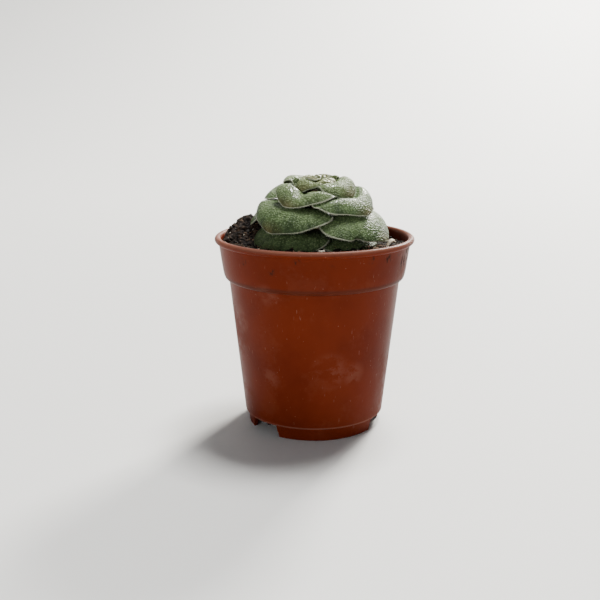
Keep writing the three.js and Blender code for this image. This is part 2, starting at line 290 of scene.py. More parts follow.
def lump(subdivisions: int, roughness: float, seed: int) -> SmallShape:
    """Makes an uneven ball of about unit radius.

    Args:
        subdivisions: How finely the ball is divided.
        roughness: How far its surface wanders, as a share of the radius.
        seed: Picks one of many forms.

    Returns:
        Its vertices and its triangles.
    """
    ball = bmesh.new()
    bmesh.ops.create_icosphere(ball, subdivisions=subdivisions, radius=1)
    shift = Vector((seed * 7.3, seed * 3.1, seed * 5.7))
    for vertex in ball.verts:
        vertex.co *= 1 + roughness * noise.noise(vertex.co * 1.6 + shift)
    points = np.array([v.co[:] for v in ball.verts])
    faces = np.array([[v.index for v in f.verts] for f in ball.faces])
    ball.free()
    return points, faces


def tumble(dice: random.Random, size: float, thinnest: float) -> tuple[Matrix, Matrix]:
    """Turns a small shape at random and flattens it.

    Args:
        dice: The seeded random source.
        size: Its longest radius.
        thinnest: The least thickness as a share of that.

    Returns:
        The turn and the scale.
    """
    turn = Matrix.Rotation(dice.uniform(0, 6.28), 4, Vector([dice.uniform(-1, 1) for _ in range(3)]))
    flat = Matrix.Diagonal((size, size * dice.uniform(0.6, 1), size * dice.uniform(thinnest, 0.9), 1))
    return turn, flat


def tube(path: Sequence[Vector], radii: Sequence[float], sides: int) -> SmallShape:
    """Makes a tapered tube with closed ends.

    Args:
        path: Points along its middle.
        radii: Its radius at each point.
        sides: The number of its sides.

    Returns:
        Its vertices and its triangles.
    """
    points, faces = [], []
    for i, at in enumerate(path):
        heading = (path[min(i + 1, len(path) - 1)] - path[max(i - 1, 0)]).normalized()
        across = heading.cross(Vector((0.31, 0.77, 0.56))).normalized()
        over = heading.cross(across)
        for k in range(sides):
            t = 2 * math.pi * k / sides
            points.append(at + across * (radii[i] * math.cos(t)) + over * (radii[i] * math.sin(t)))
    for i in range(len(path) - 1):
        for k in range(sides):
            n = (k + 1) % sides
            a, b, c, d = i * sides + k, i * sides + n, (i + 1) * sides + n, (i + 1) * sides + k
            faces += [(a, b, c), (a, c, d)]
    last = (len(path) - 1) * sides
    for k in range(1, sides - 1):
        faces += [(0, k + 1, k), (last, last + k, last + k + 1)]
    return np.array([p[:] for p in points]), np.array(faces)


def join_shapes(name: str, shapes: Sequence[SmallShape]) -> bpy.types.Object:
    """Makes one piece of several shapes that are already in place."""
    places = [(i, Matrix.Identity(4)) for i in range(len(shapes))]
    return merge_copies(name, shapes, places)


# Shader trees


class Tree:
    """Adds and wires the nodes of one material or node group."""

    def __init__(self, tree: bpy.types.NodeTree) -> None:
        """Keeps the tree that the nodes go into."""
        self.tree = tree

    def add(
        self, kind: str, inputs: dict[str | int, Value] | None = None, **settings: object
    ) -> bpy.types.Node:
        """Adds a node.

        Args:
            kind: The node's type without the ShaderNode in front.
            inputs: Values or sockets for its inputs.
            settings: Properties to set on the node before its inputs.

        Returns:
            The new node.
        """
        node = self.tree.nodes.new(f"ShaderNode{kind}")
        for key, value in settings.items():
            setattr(node, key, value)
        for key, value in (inputs or {}).items():
            self.feed(node.inputs[key], value)
        return node

    def feed(self, socket: Socket, value: Value) -> None:
        """Sets an input, or wires it to another node's output.

        Args:
            socket: The input.
            value: A number, a colour, a vector or an output socket.
        """
        if isinstance(value, Socket):
            self.tree.links.new(value, socket)
        elif socket.type == "RGBA" and not isinstance(value, (int, float)):
            socket.default_value = (*value[:3], 1)
        else:
            socket.default_value = value

    def maths(self, operation: str, first: Value, second: Value = 0.0) -> Socket:
        """Gives the result of one sum on two values."""
        return self.add("Math", {0: first, 1: second}, operation=operation).outputs[0]

    def blend(self, share: Value, first: Value, second: Value, mode: str = "MIX") -> Socket:
        """Mixes two colours.

        Args:
            share: How much of the second colour shows.
            first: The colour at share 0.
            second: The colour at share 1.
            mode: Blender's name for the way of mixing.

        Returns:
            The mixed colour.
        """
        node = self.add("Mix", data_type="RGBA", blend_type=mode, clamp_factor=True)
        for key, value in ((0, share), (6, first), (7, second)):
            self.feed(node.inputs[key], value)
        return node.outputs[2]

    def span(
        self, value: Value, low: float, high: float, to_low: float = 0, to_high: float = 1
    ) -> Socket:
        """Maps a stretch of values smoothly onto another, with its ends held.

        Args:
            value: The value to map.
            low: Where the stretch starts.
            high: Where the stretch ends.
            to_low: The result at low.
            to_high: The result at high.

        Returns:
            The mapped value.
        """
        inputs = {"Value": value, 1: low, 2: high, 3: to_low, 4: to_high}
        return self.add("MapRange", inputs, interpolation_type="SMOOTHSTEP").outputs[0]

    def band(self, value: Value, middle: float, near: float, far: float, strength: float) -> Socket:
        """Gives a mask of the values about a middle one, which fades on both sides.

        Args:
            value: The value to look at.
            middle: The value where the mask is full.
            near: How far from the middle it starts to fade.
            far: How far from the middle it ends.
            strength: The mask's value where it is full.

        Returns:
            The mask.
        """
        away = self.maths("ABSOLUTE", self.maths("SUBTRACT", value, middle))
        return self.span(away, near, far, strength, 0)

    def clouds(self, vector: Value, scale: Value, detail: float = 3, rough: float = 0.55) -> Socket:
        """Gives a noise value between 0 and 1.

        Args:
            vector: The coordinates in metres.
            scale: Features in a metre.
            detail: How many finer layers it has.
            rough: How strong the finer layers are.

        Returns:
            The noise value.
        """
        inputs = {"Vector": vector, "Scale": scale, "Detail": detail, "Roughness": rough}
        return self.add("TexNoise", inputs).outputs[0]


def group_of(name: str, inputs: dict[str, str], outputs: dict[str, str]) -> tuple[bpy.types.NodeTree, Tree]:
    """Starts a shader node group with named sockets.

    Args:
        name: The group's name.
        inputs: The socket type of each input.
        outputs: The socket type of each output.

    Returns:
        The group, and a tree with its input and output nodes in place.
    """
    group = bpy.data.node_groups.new(name, "ShaderNodeTree")
    for socket_name, kind in inputs.items():
        group.interface.new_socket(socket_name, in_out="INPUT", socket_type=f"NodeSocket{kind}")
    for socket_name, kind in outputs.items():
        group.interface.new_socket(socket_name, in_out="OUTPUT", socket_type=f"NodeSocket{kind}")
    tree = Tree(group)
    group.nodes.new("NodeGroupInput")
    group.nodes.new("NodeGroupOutput")
    return group, tree


def group_ends(group: bpy.types.NodeTree) -> tuple[bpy.types.Node, bpy.types.Node]:
    """Gives a group's input node and output node."""
    return group.nodes["Group Input"], group.nodes["Group Output"]


class SharedEffects:
    """The shader node groups, each built once and placed in every material that needs it."""

    def __init__(self) -> None:
        """Builds each group once."""
        self.pebbles = self.build_pebbles()
        self.patches = self.build_patches()

    @staticmethod
    def build_pebbles() -> bpy.types.NodeTree:
        """Builds the fine papillae of a leaf's skin.

        Returns:
            A group that puts out the papillae's height and the pale specks on their tops.
        """
        group, tree = group_of(
            "pebbled_skin", {"Vector": "Vector", "Grains": "Float"}, {"Height": "Float", "Specks": "Float"}
        )
        start, end = group_ends(group)
        warp = tree.add("TexNoise", {"Vector": start.outputs["Vector"], "Scale": 700.0, "Detail": 2.0})
        bent = tree.add("VectorMath", {0: warp.outputs["Color"], "Scale": 0.0004}, operation="SCALE")
        vector = tree.add("VectorMath", {0: start.outputs["Vector"], 1: bent.outputs[0]}, operation="ADD")
        cells = tree.add("TexVoronoi", {"Vector": vector.outputs[0], "Scale": start.outputs["Grains"]})
        domes = tree.span(cells.outputs["Distance"], 0.1, 0.75, 1, 0)
        lone = tree.maths("GREATER_THAN", cells.outputs["Color"], 0.42)
        tree.feed(end.inputs["Height"], domes)
        tree.feed(end.inputs["Specks"], tree.maths("MULTIPLY", tree.maths("POWER", domes, 2.0), lone))
        return group

    @staticmethod
    def build_patches() -> bpy.types.NodeTree:
        """Builds uneven patches for dust, smears and faded colour.

        Returns:
            A group that puts out a mask of soft patches with grainy edges.
        """
        group, tree = group_of(
            "grainy_patches",
            {"Vector": "Vector", "Size": "Float", "Cover": "Float", "Grain": "Float"},
            {"Mask": "Float"},
        )
        start, end = group_ends(group)
        broad = tree.clouds(start.outputs["Vector"], start.outputs["Size"], 3)
        fine = tree.clouds(start.outputs["Vector"], start.outputs["Grain"], 2, 0.7)
        mixed = tree.maths("ADD", broad, tree.maths("MULTIPLY", tree.maths("SUBTRACT", fine, 0.5), 0.35))
        edge = tree.maths("SUBTRACT", 1.0, start.outputs["Cover"])
        above = tree.maths("SUBTRACT", mixed, edge)
        tree.feed(end.inputs["Mask"], tree.span(above, -0.06, 0.12))
        return group

    def specks(self, tree: Tree, vector: Value, grains: float) -> bpy.types.Node:
        """Places the papillae group in a material.

        Args:
            tree: The material's tree.
            vector: The coordinates in metres.
            grains: Papillae in a metre.

        Returns:
            The placed group, with its Height and Specks outputs.
        """
        node = tree.add("Group", node_tree=self.pebbles)
        tree.feed(node.inputs["Vector"], vector)
        tree.feed(node.inputs["Grains"], grains)
        return node

    def patch(self, tree: Tree, vector: Value, size: float, cover: float, grain: float) -> Socket:
        """Places the patches group in a material.

        Args:
            tree: The material's tree.
            vector: The coordinates in metres.
            size: Patches in a metre.
            cover: The share of the surface that they cover.
            grain: Grains in a metre along their edges.

        Returns:
            The mask.
        """
        node = tree.add("Group", node_tree=self.patches)
        for key, value in (("Vector", vector), ("Size", size), ("Cover", cover), ("Grain", grain)):
            tree.feed(node.inputs[key], value)
        return node.outputs["Mask"]


@dataclass(frozen=True)
class Surface:
    """A new material's tree, its shader and its coordinates."""

    material: bpy.types.Material
    tree: Tree
    shader: bpy.types.Node
    place: Socket
    normal: Socket

    @staticmethod
    def named(name: str, roughness: float, **sockets: float) -> "Surface":
        """Starts a material.

        Args:
            name: The material's name.
            roughness: The shader's plain roughness.
            sockets: Other plain shader values, with underscores for spaces.

        Returns:
            The surface to add nodes to.
        """
        material = bpy.data.materials.new(name)
        material.use_nodes = True
        tree = Tree(material.node_tree)
        shader = material.node_tree.nodes["Principled BSDF"]
        shader.inputs["Roughness"].default_value = roughness
        for key, value in sockets.items():
            shader.inputs[key.replace("_", " ")].default_value = value
        place = tree.add("TexCoord").outputs["Object"]
        normal = tree.add("NewGeometry").outputs["Normal"]
        return Surface(material, tree, shader, place, normal)

    def attribute(self, name: str) -> Socket:
        """Reads a number that the mesh carries per vertex."""
        return self.tree.add("Attribute", attribute_name=name).outputs["Fac"]

    def height(self) -> Socket:
        """Gives the height above the ground in metres."""
        return self.tree.add("SeparateXYZ", {0: self.place}).outputs["Z"]

    def stretched(self, scale: Point3, turn: Point3 = (0, 0, 0)) -> Socket:
        """Gives the coordinates stretched and turned, to draw a texture out along one way.

        Args:
            scale: The scale along each axis.
            turn: The turn about each axis, in radians.

        Returns:
            The new coordinates.
        """
        return self.tree.add("Mapping", {"Vector": self.place, "Scale": scale, "Rotation": turn}).outputs[0]

    def upness(self, low: float, high: float) -> Socket:
        """Gives a mask of the faces that look up.

        Args:
            low: The normal's height where the mask starts.
            high: The normal's height where it is full.

        Returns:
            The mask.
        """
        parts = self.tree.add("SeparateXYZ", {0: self.normal})
        return self.tree.span(parts.outputs["Z"], low, high)

    def bump(
        self, height: Value, distance: float, strength: float = 1.0, under: Value | None = None
    ) -> Socket:
        """Turns a height into a normal.

        Args:
            height: The height, from 0 to 1.
            distance: The relief's depth in metres.
            strength: How much of it shows.
            under: The normal of a coarser relief below.

        Returns:
            The bumped normal.
        """
        node = self.tree.add("Bump", {"Height": height, "Distance": distance, "Strength": strength})
        if under is not None:
            self.tree.feed(node.inputs["Normal"], under)
        return node.outputs["Normal"]

    def paint(self, **sockets: Value) -> bpy.types.Material:
        """Wires the shader's inputs.

        Args:
            sockets: Values for the shader, with underscores for spaces.

        Returns:
            The finished material.
        """
        for key, value in sockets.items():
            self.tree.feed(self.shader.inputs[key.replace("_", " ")], value)
        return self.material


# Finishes


@dataclass(frozen=True)
class LeafSkin:
    """Fleshy pebbled leaf skin with a pale margin, an olive tip, and painted top light, pit shade and sheen.
    """

    deep: Colour = (0.028, 0.051, 0.017)
    mid: Colour = (0.098, 0.150, 0.058)
    young: Colour = (0.480, 0.540, 0.260)
    # Pale speck colour: the skin's bloom, and painted sheen where faces look up.
    bloom_and_sheen: Colour = (0.380, 0.460, 0.250)
    tip: Colour = (0.080, 0.058, 0.022)
    margin: Colour = (0.380, 0.410, 0.300)
    grains: float = 1900.0
    young_share: float = 0.75
    bloom_and_sheen_share: float = 0.36
    tip_share: float = 0.85
    margin_share: float = 0.8
    margin_full: float = 0.12
    margin_end: float = 0.34
    pebble_depth: float = 0.2
    swell_depth: float = 0.9
    crease_depth: float = 1.2
    sheen_low: float = 54.5
    sheen_high: float = 57.5

    def material(self, effects: SharedEffects) -> bpy.types.Material:
        """Builds the material.

        Args:
            effects: The shared node groups.

        Returns:
            The leaf material, which reads the mesh's margin, tip and age values.
        """
        skin = Surface.named("leaf_skin", 0.5, Specular_IOR_Level=0.12, Coat_Roughness=0.16, Coat_IOR=1.7)
        tree = skin.tree
        pebble = effects.specks(tree, skin.place, self.grains)
        streak_place = skin.stretched((1, 1, 0.45))
        mottle = tree.clouds(streak_place, 420, 4, 0.6)
        youth = skin.attribute("youth")
        up = skin.upness(0.1, 0.95)
        # Painted top light: up-facing faces take more of the mid green, on top of the random mottle.
        mottle_and_top_light = tree.maths("ADD", mottle, tree.maths("MULTIPLY", up, 0.3))
        body = tree.blend(tree.span(mottle_and_top_light, 0.38, 0.84), self.deep, self.mid)
        body = tree.blend(tree.maths("MULTIPLY", youth, self.young_share), body, self.young)
        # Painted shade: the pits between the papillae are darkened.
        pit_shade = tree.span(pebble.outputs["Height"], 0.0, 0.5, 0.7, 1)
        shade = tree.add("CombineColor", {0: pit_shade, 1: pit_shade, 2: pit_shade}).outputs[0]
        body = tree.blend(1.0, body, shade, "MULTIPLY")
        # Pale specks, strongest on up-facing faces: partly the skin's bloom, partly painted sheen from the
        # top light.
        top_sheen_share = tree.span(up, 0.1, 1.0, 0.02, self.bloom_and_sheen_share)
        speck = tree.maths("MULTIPLY", pebble.outputs["Specks"], top_sheen_share)
        body = tree.blend(speck, body, self.bloom_and_sheen)
        tipped = tree.maths("MULTIPLY", skin.attribute("tip"), tree.span(mottle, 0.25, 0.6, 0.45, 1))
        body = tree.blend(tree.maths("MULTIPLY", tipped, self.tip_share), body, self.tip)
        line = tree.span(skin.attribute("margin"), self.margin_full, self.margin_end, 1, 0)
        body = tree.blend(tree.maths("MULTIPLY", line, self.margin_share), body, self.margin)
        creases = tree.maths("MULTIPLY", youth, tree.clouds(streak_place, 900, 2))
        creased = skin.bump(creases, self.crease_depth * MM, 0.7)
        swollen = skin.bump(tree.clouds(skin.place, 260, 3), self.swell_depth * MM, 0.6, creased)
        fine = skin.bump(pebble.outputs["Height"], self.pebble_depth * MM, 1.0, swollen)
        rough = tree.span(mottle, 0.3, 0.75, 0.42, 0.55)
        glints = tree.span(tree.clouds(skin.place, 1000, 2), 0.46, 0.58, 0, 1)
        tops = tree.maths("MULTIPLY", glints, tree.span(pebble.outputs["Height"], 0.4, 0.85, 0, 1))
        high = tree.span(skin.height(), self.sheen_low * MM, self.sheen_high * MM)
        sheen = tree.maths("MULTIPLY", skin.upness(0.35, 0.85), tops)
        sheen = tree.maths("MULTIPLY", sheen, high)
        return skin.paint(Base_Color=body, Roughness=rough, Normal=fine, Coat_Weight=sheen)


@dataclass(frozen=True)
class Spot:
    """A soft ball on the pot's wall, by azimuth, height and radius, where dirt or a rub shows."""

    COLLAR_FOOT: ClassVar[float] = 42.0
    COLLAR_RADIUS: ClassVar[float] = 26.0
    BODY_RADIUS: ClassVar[float] = 24.6
    BODY_TAPER: ClassVar[float] = 0.108
    FULL_SHARE: ClassVar[float] = 0.3

    azimuth: float
    height: float
    radius: float

    def mask(self, plastic: Surface) -> Socket:
        """Gives the ball's mask, full in its middle.

        Args:
            plastic: The surface that it lies on.

        Returns:
            The mask.
        """
        top = self.BODY_RADIUS if self.height < self.COLLAR_FOOT else self.COLLAR_RADIUS
        wall = top - (self.COLLAR_FOOT - min(self.height, self.COLLAR_FOOT)) * self.BODY_TAPER
        centre = (compass(self.azimuth) * wall + Vector((0, 0, self.height))) * MM
        away = plastic.tree.add("VectorMath", {0: plastic.place, 1: centre[:]}, operation="DISTANCE")
        full = self.radius * self.FULL_SHARE * MM
        return plastic.tree.span(away.outputs["Value"], full, self.radius * MM, 1, 0)

    @staticmethod
    def any_of(spots: Sequence["Spot"], plastic: Surface) -> Socket:
        """Gives the mask of several balls together.

        Args:
            spots: The balls.
            plastic: The surface that they lie on.

        Returns:
            The mask.
        """
        total = spots[0].mask(plastic)
        for spot in spots[1:]:
            total = plastic.tree.maths("MAXIMUM", total, spot.mask(plastic))
        return total


@dataclass(frozen=True)
class PotPlastic:
    """Thin moulded terracotta-coloured plastic, satin, scuffed and dusty, with painted highlights and shadow.
    """

    deep: Colour = (0.078, 0.008, 0.0016)
    warm: Colour = (0.110, 0.014, 0.003)
    # Pale colour of the haze, rubs, scratches and specks, and of the painted highlights on lip and bead.
    haze: Colour = (0.300, 0.170, 0.125)
    # Dark soil colour of the smears, also used for the painted shadow under the collar's ledge.
    soil: Colour = (0.016, 0.010, 0.007)
    rubs: tuple[Spot, ...] = (
        Spot(-30, 41.0, 4.0),
        Spot(-33, 17.5, 4.0),
        Spot(12, 20.5, 6.5),
        Spot(30, 19.0, 4.5),
        Spot(-60, 32.0, 5.0),
    )
    smears: tuple[Spot, ...] = (
        Spot(72, 50.0, 4.2),
        Spot(66, 48.0, 3.4),
        Spot(79, 45.0, 4.2),
        Spot(-44, 49.5, 1.5),
        Spot(-24, 47.8, 1.5),
        Spot(-9, 50.8, 1.3),
        Spot(34, 50.6, 1.5),
        Spot(47, 50.2, 1.7),
        Spot(150, 49.0, 3.5),
        Spot(-130, 48.0, 3.0),
    )
    lip_highlight_height: float = 3.95
    ledge_shadow_height: float = 42.4
    bead_highlight_low: float = 52.2
    bead_highlight_high: float = 53.2
    smear_low: float = 48.5
    smear_high: float = 51.5
    haze_share: float = 0.03
    rub_share: float = 0.1
    scratch_share: float = 0.25
    speck_share: float = 0.32
    lip_highlight_share: float = 0.24
    bead_highlight_share: float = 0.3
    ledge_shadow_share: float = 0.42
    smear_share: float = 0.85

    def pale_marks(self, plastic: Surface, effects: SharedEffects, scratches: Socket, body: Socket) -> Socket:
        """Adds the rubs, scratches and specks, and the painted highlights on the lower lip and rim bead.

        Args:
            plastic: The surface that is marked.
            effects: The shared node groups.
            scratches: The scratches' mask.
            body: The colour under the marks.

        Returns:
            The marked colour.
        """
        tree = plastic.tree
        rubbed = effects.patch(tree, plastic.stretched((1, 1, 1.5), (0.2, 0.35, 0)), 210, 0.56, 2600)
        rubbed = tree.maths("MULTIPLY", rubbed, Spot.any_of(self.rubs, plastic))
        body = tree.blend(tree.maths("MULTIPLY", rubbed, self.rub_share), body, self.haze)
        body = tree.blend(tree.maths("MULTIPLY", scratches, self.scratch_share), body, self.haze)
        cells = tree.add("TexVoronoi", {"Vector": plastic.place, "Scale": 420.0}).outputs["Distance"]
        specks = tree.span(cells, 0.03, 0.07, 1, 0)
        body = tree.blend(tree.maths("MULTIPLY", specks, self.speck_share), body, self.haze)
        height = plastic.height()
        # Painted highlight: a pale line along the body's lower edge, above the foot.
        lip_highlight = tree.band(height, self.lip_highlight_height * MM, 0.0001, 0.0003, self.lip_highlight_share)
        # Painted highlight: the top of the rim bead is blended towards the pale colour.
        bead = tree.span(height, self.bead_highlight_low * MM, self.bead_highlight_high * MM, 0, self.bead_highlight_share)
        return tree.blend(tree.maths("MAXIMUM", lip_highlight, bead), body, self.haze)

    def smears_mask(self, plastic: Surface, effects: SharedEffects) -> Socket:
        """Gives the mask of the soil that sticks under the rim and in the smears.

        Args:
            plastic: The surface that it sticks to.
            effects: The shared node groups.

        Returns:
            The mask.
        """
        tree = plastic.tree
        under_rim = tree.span(plastic.height(), self.smear_low * MM, self.smear_high * MM)
        stuck = tree.maths("MULTIPLY", effects.patch(tree, plastic.place, 260, 0.3, 1500), under_rim)
        streaks = effects.patch(tree, plastic.stretched((1, 1, 0.45)), 900, 0.5, 3000)
        streaks = tree.maths("MULTIPLY", streaks, Spot.any_of(self.smears, plastic))
        return tree.maths("MAXIMUM", stuck, streaks)

    def material(self, effects: SharedEffects) -> bpy.types.Material:
        """Builds the material.

        Args:
            effects: The shared node groups.

        Returns:
            The plastic, with haze, scratches, specks, soil smears under its rim, painted highlights and
            shadow.
        """
        plastic = Surface.named("pot_plastic", 0.5, Specular_IOR_Level=0.04)
        tree = plastic.tree
        tone = tree.span(tree.clouds(plastic.place, 60, 3), 0.25, 0.7, 0.3, 1)
        body = tree.blend(tone, self.deep, self.warm)
        haze = effects.patch(tree, plastic.place, 95, 0.42, 900)
        body = tree.blend(tree.maths("MULTIPLY", haze, self.haze_share), body, self.haze)
        scratch_place = plastic.stretched((1, 1, 0.09), (0.25, 0.1, 0))
        scratches = tree.span(tree.clouds(scratch_place, 2600, 2), 0.69, 0.76)
        body = self.pale_marks(plastic, effects, scratches, body)
        # Painted shadow: a dark band in the soil colour under the collar's ledge.
        ledge_shadow = tree.band(plastic.height(), self.ledge_shadow_height * MM, 0.0003, 0.0012, self.ledge_shadow_share)
        body = tree.blend(ledge_shadow, body, self.soil)
        smear = self.smears_mask(plastic, effects)
        body = tree.blend(tree.maths("MULTIPLY", smear, self.smear_share), body, self.soil)
        relief = plastic.bump(tree.clouds(plastic.place, 1400, 2), 0.00005, 0.5)
        worn = plastic.bump(scratches, 0.00004, 0.6, relief)
        rough = tree.maths("ADD", tree.maths("MULTIPLY", haze, 0.16), 0.4)
        rough = tree.maths("MAXIMUM", rough, tree.maths("MULTIPLY", smear, 0.9))
        return plastic.paint(Base_Color=body, Roughness=rough, Normal=worn)


@dataclass(frozen=True)
class Peat:
    """Dark crumbly potting soil."""

    dark: Colour = (0.004, 0.003, 0.002)
    light: Colour = (0.026, 0.016, 0.010)
    pale: Colour = (0.160, 0.110, 0.070)

    def material(self, effects: SharedEffects) -> bpy.types.Material:
        """Builds the material.

        Args:
            effects: The shared node groups.

        Returns:
            The soil material.
        """
        peat = Surface.named("peat", 0.95, Specular_IOR_Level=0.25)
        tree = peat.tree
        body = tree.blend(tree.span(tree.clouds(peat.place, 900, 5, 0.7), 0.35, 0.72), self.dark, self.light)
        crumbs = effects.patch(tree, peat.place, 1300, 0.27, 4000)
        body = tree.blend(tree.maths("MULTIPLY", crumbs, 0.4), body, self.pale)
        relief = peat.bump(tree.clouds(peat.place, 1500, 5, 0.75), 0.0005)
        return peat.paint(Base_Color=body, Normal=relief)


@dataclass(frozen=True)
class Tinted:
    """A dry matt finish of two colours in patches."""

    name: str
    base: Colour
    other: Colour
    size: float = 700.0
    relief: float = 0.0002

    def material(self, effects: SharedEffects) -> bpy.types.Material:
        """Builds the material.

        Args:
            effects: The shared node groups.

        Returns:
            The finished material.
        """
        dry = Surface.named(self.name, 0.85, Specular_IOR_Level=0.3)
        tree = dry.tree
        mask = effects.patch(tree, dry.place, self.size, 0.5, self.size * 4)
        body = tree.blend(mask, self.base, self.other)
        relief = dry.bump(tree.clouds(dry.place, self.size * 2, 4), self.relief)
        return dry.paint(Base_Color=body, Normal=relief)


@dataclass(frozen=True)
class Finishes:
    """Every material of the part."""

    leaf: bpy.types.Material
    pot: bpy.types.Material
    soil: bpy.types.Material
    crumb: bpy.types.Material
    fibre: bpy.types.Material
    grit: bpy.types.Material
    root: bpy.types.Material
    hair: bpy.types.Material
    dry: bpy.types.Material

    @staticmethod
    def build() -> "Finishes":
        """Makes the shared effects, then each material.

        Returns:
            The part's materials.
        """
        effects = SharedEffects()
        return Finishes(
            leaf=LeafSkin().material(effects),
            pot=PotPlastic().material(effects),
            soil=Peat().material(effects),
            crumb=Tinted("soil_crumb", (0.009, 0.006, 0.005), (0.048, 0.029, 0.018)).material(effects),
            fibre=Tinted("soil_fibre", (0.09, 0.050, 0.028), (0.26, 0.17, 0.10)).material(effects),
            grit=Tinted("pale_grit", (0.42, 0.38, 0.31), (0.62, 0.58, 0.50)).material(effects),
            root=Tinted("corky_root", (0.26, 0.19, 0.12), (0.42, 0.33, 0.22)).material(effects),
            hair=Tinted("margin_hair", (0.50, 0.52, 0.42), (0.62, 0.63, 0.52)).material(effects),
            dry=Tinted("dry_leaf", (0.50, 0.41, 0.27), (0.72, 0.66, 0.53)).material(effects),
        )


# The rosette

STEM_RADIUS = 1.7
STEM_TOP = 12.4
LEAF_INNER_RADIUS = 2.2
WIDEST_SHARE = 0.42
HAIR_SPACING = (0.16, 0.34)
HAIR_LENGTH = (0.16, 0.42)
HAIR_RADIUS = (0.03, 0.055)


@dataclass(frozen=True)
class Dent:
    """A place where the margin is drawn in and the face is creased."""

    turn: float
    depth: float
    spread: float


@dataclass(frozen=True)
class Nudge:
    """A soft local shift of a blade, in millimetres, about a turn in degrees and a share along it."""

    turn: float
    up: float
    out: float = 0.0
    spread: float = 20.0
    along: float = 0.7
    reach: float = 0.5


@dataclass(frozen=True)
class LeafShape:
    """One blade's measured form, in millimetres and degrees.

    base is its height at the stem, ridge and tip the radius and height where it turns down and where
    it ends, width its half width as a share of its length, skew how much wider its right flank is as
    seen from outside, point how sharply it ends, droop and roll how far its flanks drop, and thick its
    fullness. inner is the radius where it starts, edge its margin's thickness, and youth its paleness.
    """

    azimuth: float
    base: float
    ridge: Point2
    tip: Point2
    width: float
    skew: float
    point: float
    droop: float
    roll: float
    thick: float
    inner: float = LEAF_INNER_RADIUS
    edge: float = 0.24
    youth: float = 0.0
    dents: tuple[Dent, ...] = ()
    nudges: tuple[Nudge, ...] = ()
    seed: int = 1


class BladeLine:
    """The blade's line from the stem up to its ridge and down to its tip."""

    SAMPLES: ClassVar[int] = 90
    SHOULDER: ClassVar[float] = 0.5
    TIP_PULL_OUT: ClassVar[float] = 0.22
    TIP_PULL_UP: ClassVar[float] = 0.38

    def __init__(self, shape: LeafShape) -> None:
        """Samples the line as radius and height, with its length so far.

        Args:
            shape: The blade's form.
        """
        start, crest, end = (shape.inner, shape.base), shape.ridge, shape.tip
        out, down = end[0] - crest[0], crest[1] - end[1]
        t = np.linspace(0, 1, self.SAMPLES)[:, None]
        middle = np.array(((start[0] + crest[0]) / 2, crest[1]))
        rise = (1 - t) ** 2 * start + 2 * t * (1 - t) * middle + t**2 * np.array(crest)
        over = np.array((crest[0] + out * self.SHOULDER, crest[1]))
        into = np.array((end[0] - out * self.TIP_PULL_OUT, end[1] + down * self.TIP_PULL_UP))
        fall = (1 - t) ** 3 * crest + 3 * t * (1 - t) ** 2 * over + 3 * t**2 * (1 - t) * into + t**3 * end
        self.points = np.vstack((rise, fall[1:]))
        steps = np.linalg.norm(np.diff(self.points, axis=0), axis=1)
        self.run = np.concatenate(([0], np.cumsum(steps)))
        self.length = float(self.run[-1])
        slope = np.gradient(self.points, self.run, axis=0)
        self.slope = slope / np.linalg.norm(slope, axis=1)[:, None]

    def at(self, share: np.ndarray) -> tuple[np.ndarray, np.ndarray, np.ndarray, np.ndarray]:
        """Gives the line's place and heading at shares of its length.

        Args:
            share: Shares of the length.

        Returns:
            Radius, height, and the heading's outward and upward parts.
        """
        run = share * self.length
        tables = (self.points[:, 0], self.points[:, 1], self.slope[:, 0], self.slope[:, 1])
        return tuple(np.interp(run, self.run, table) for table in tables)


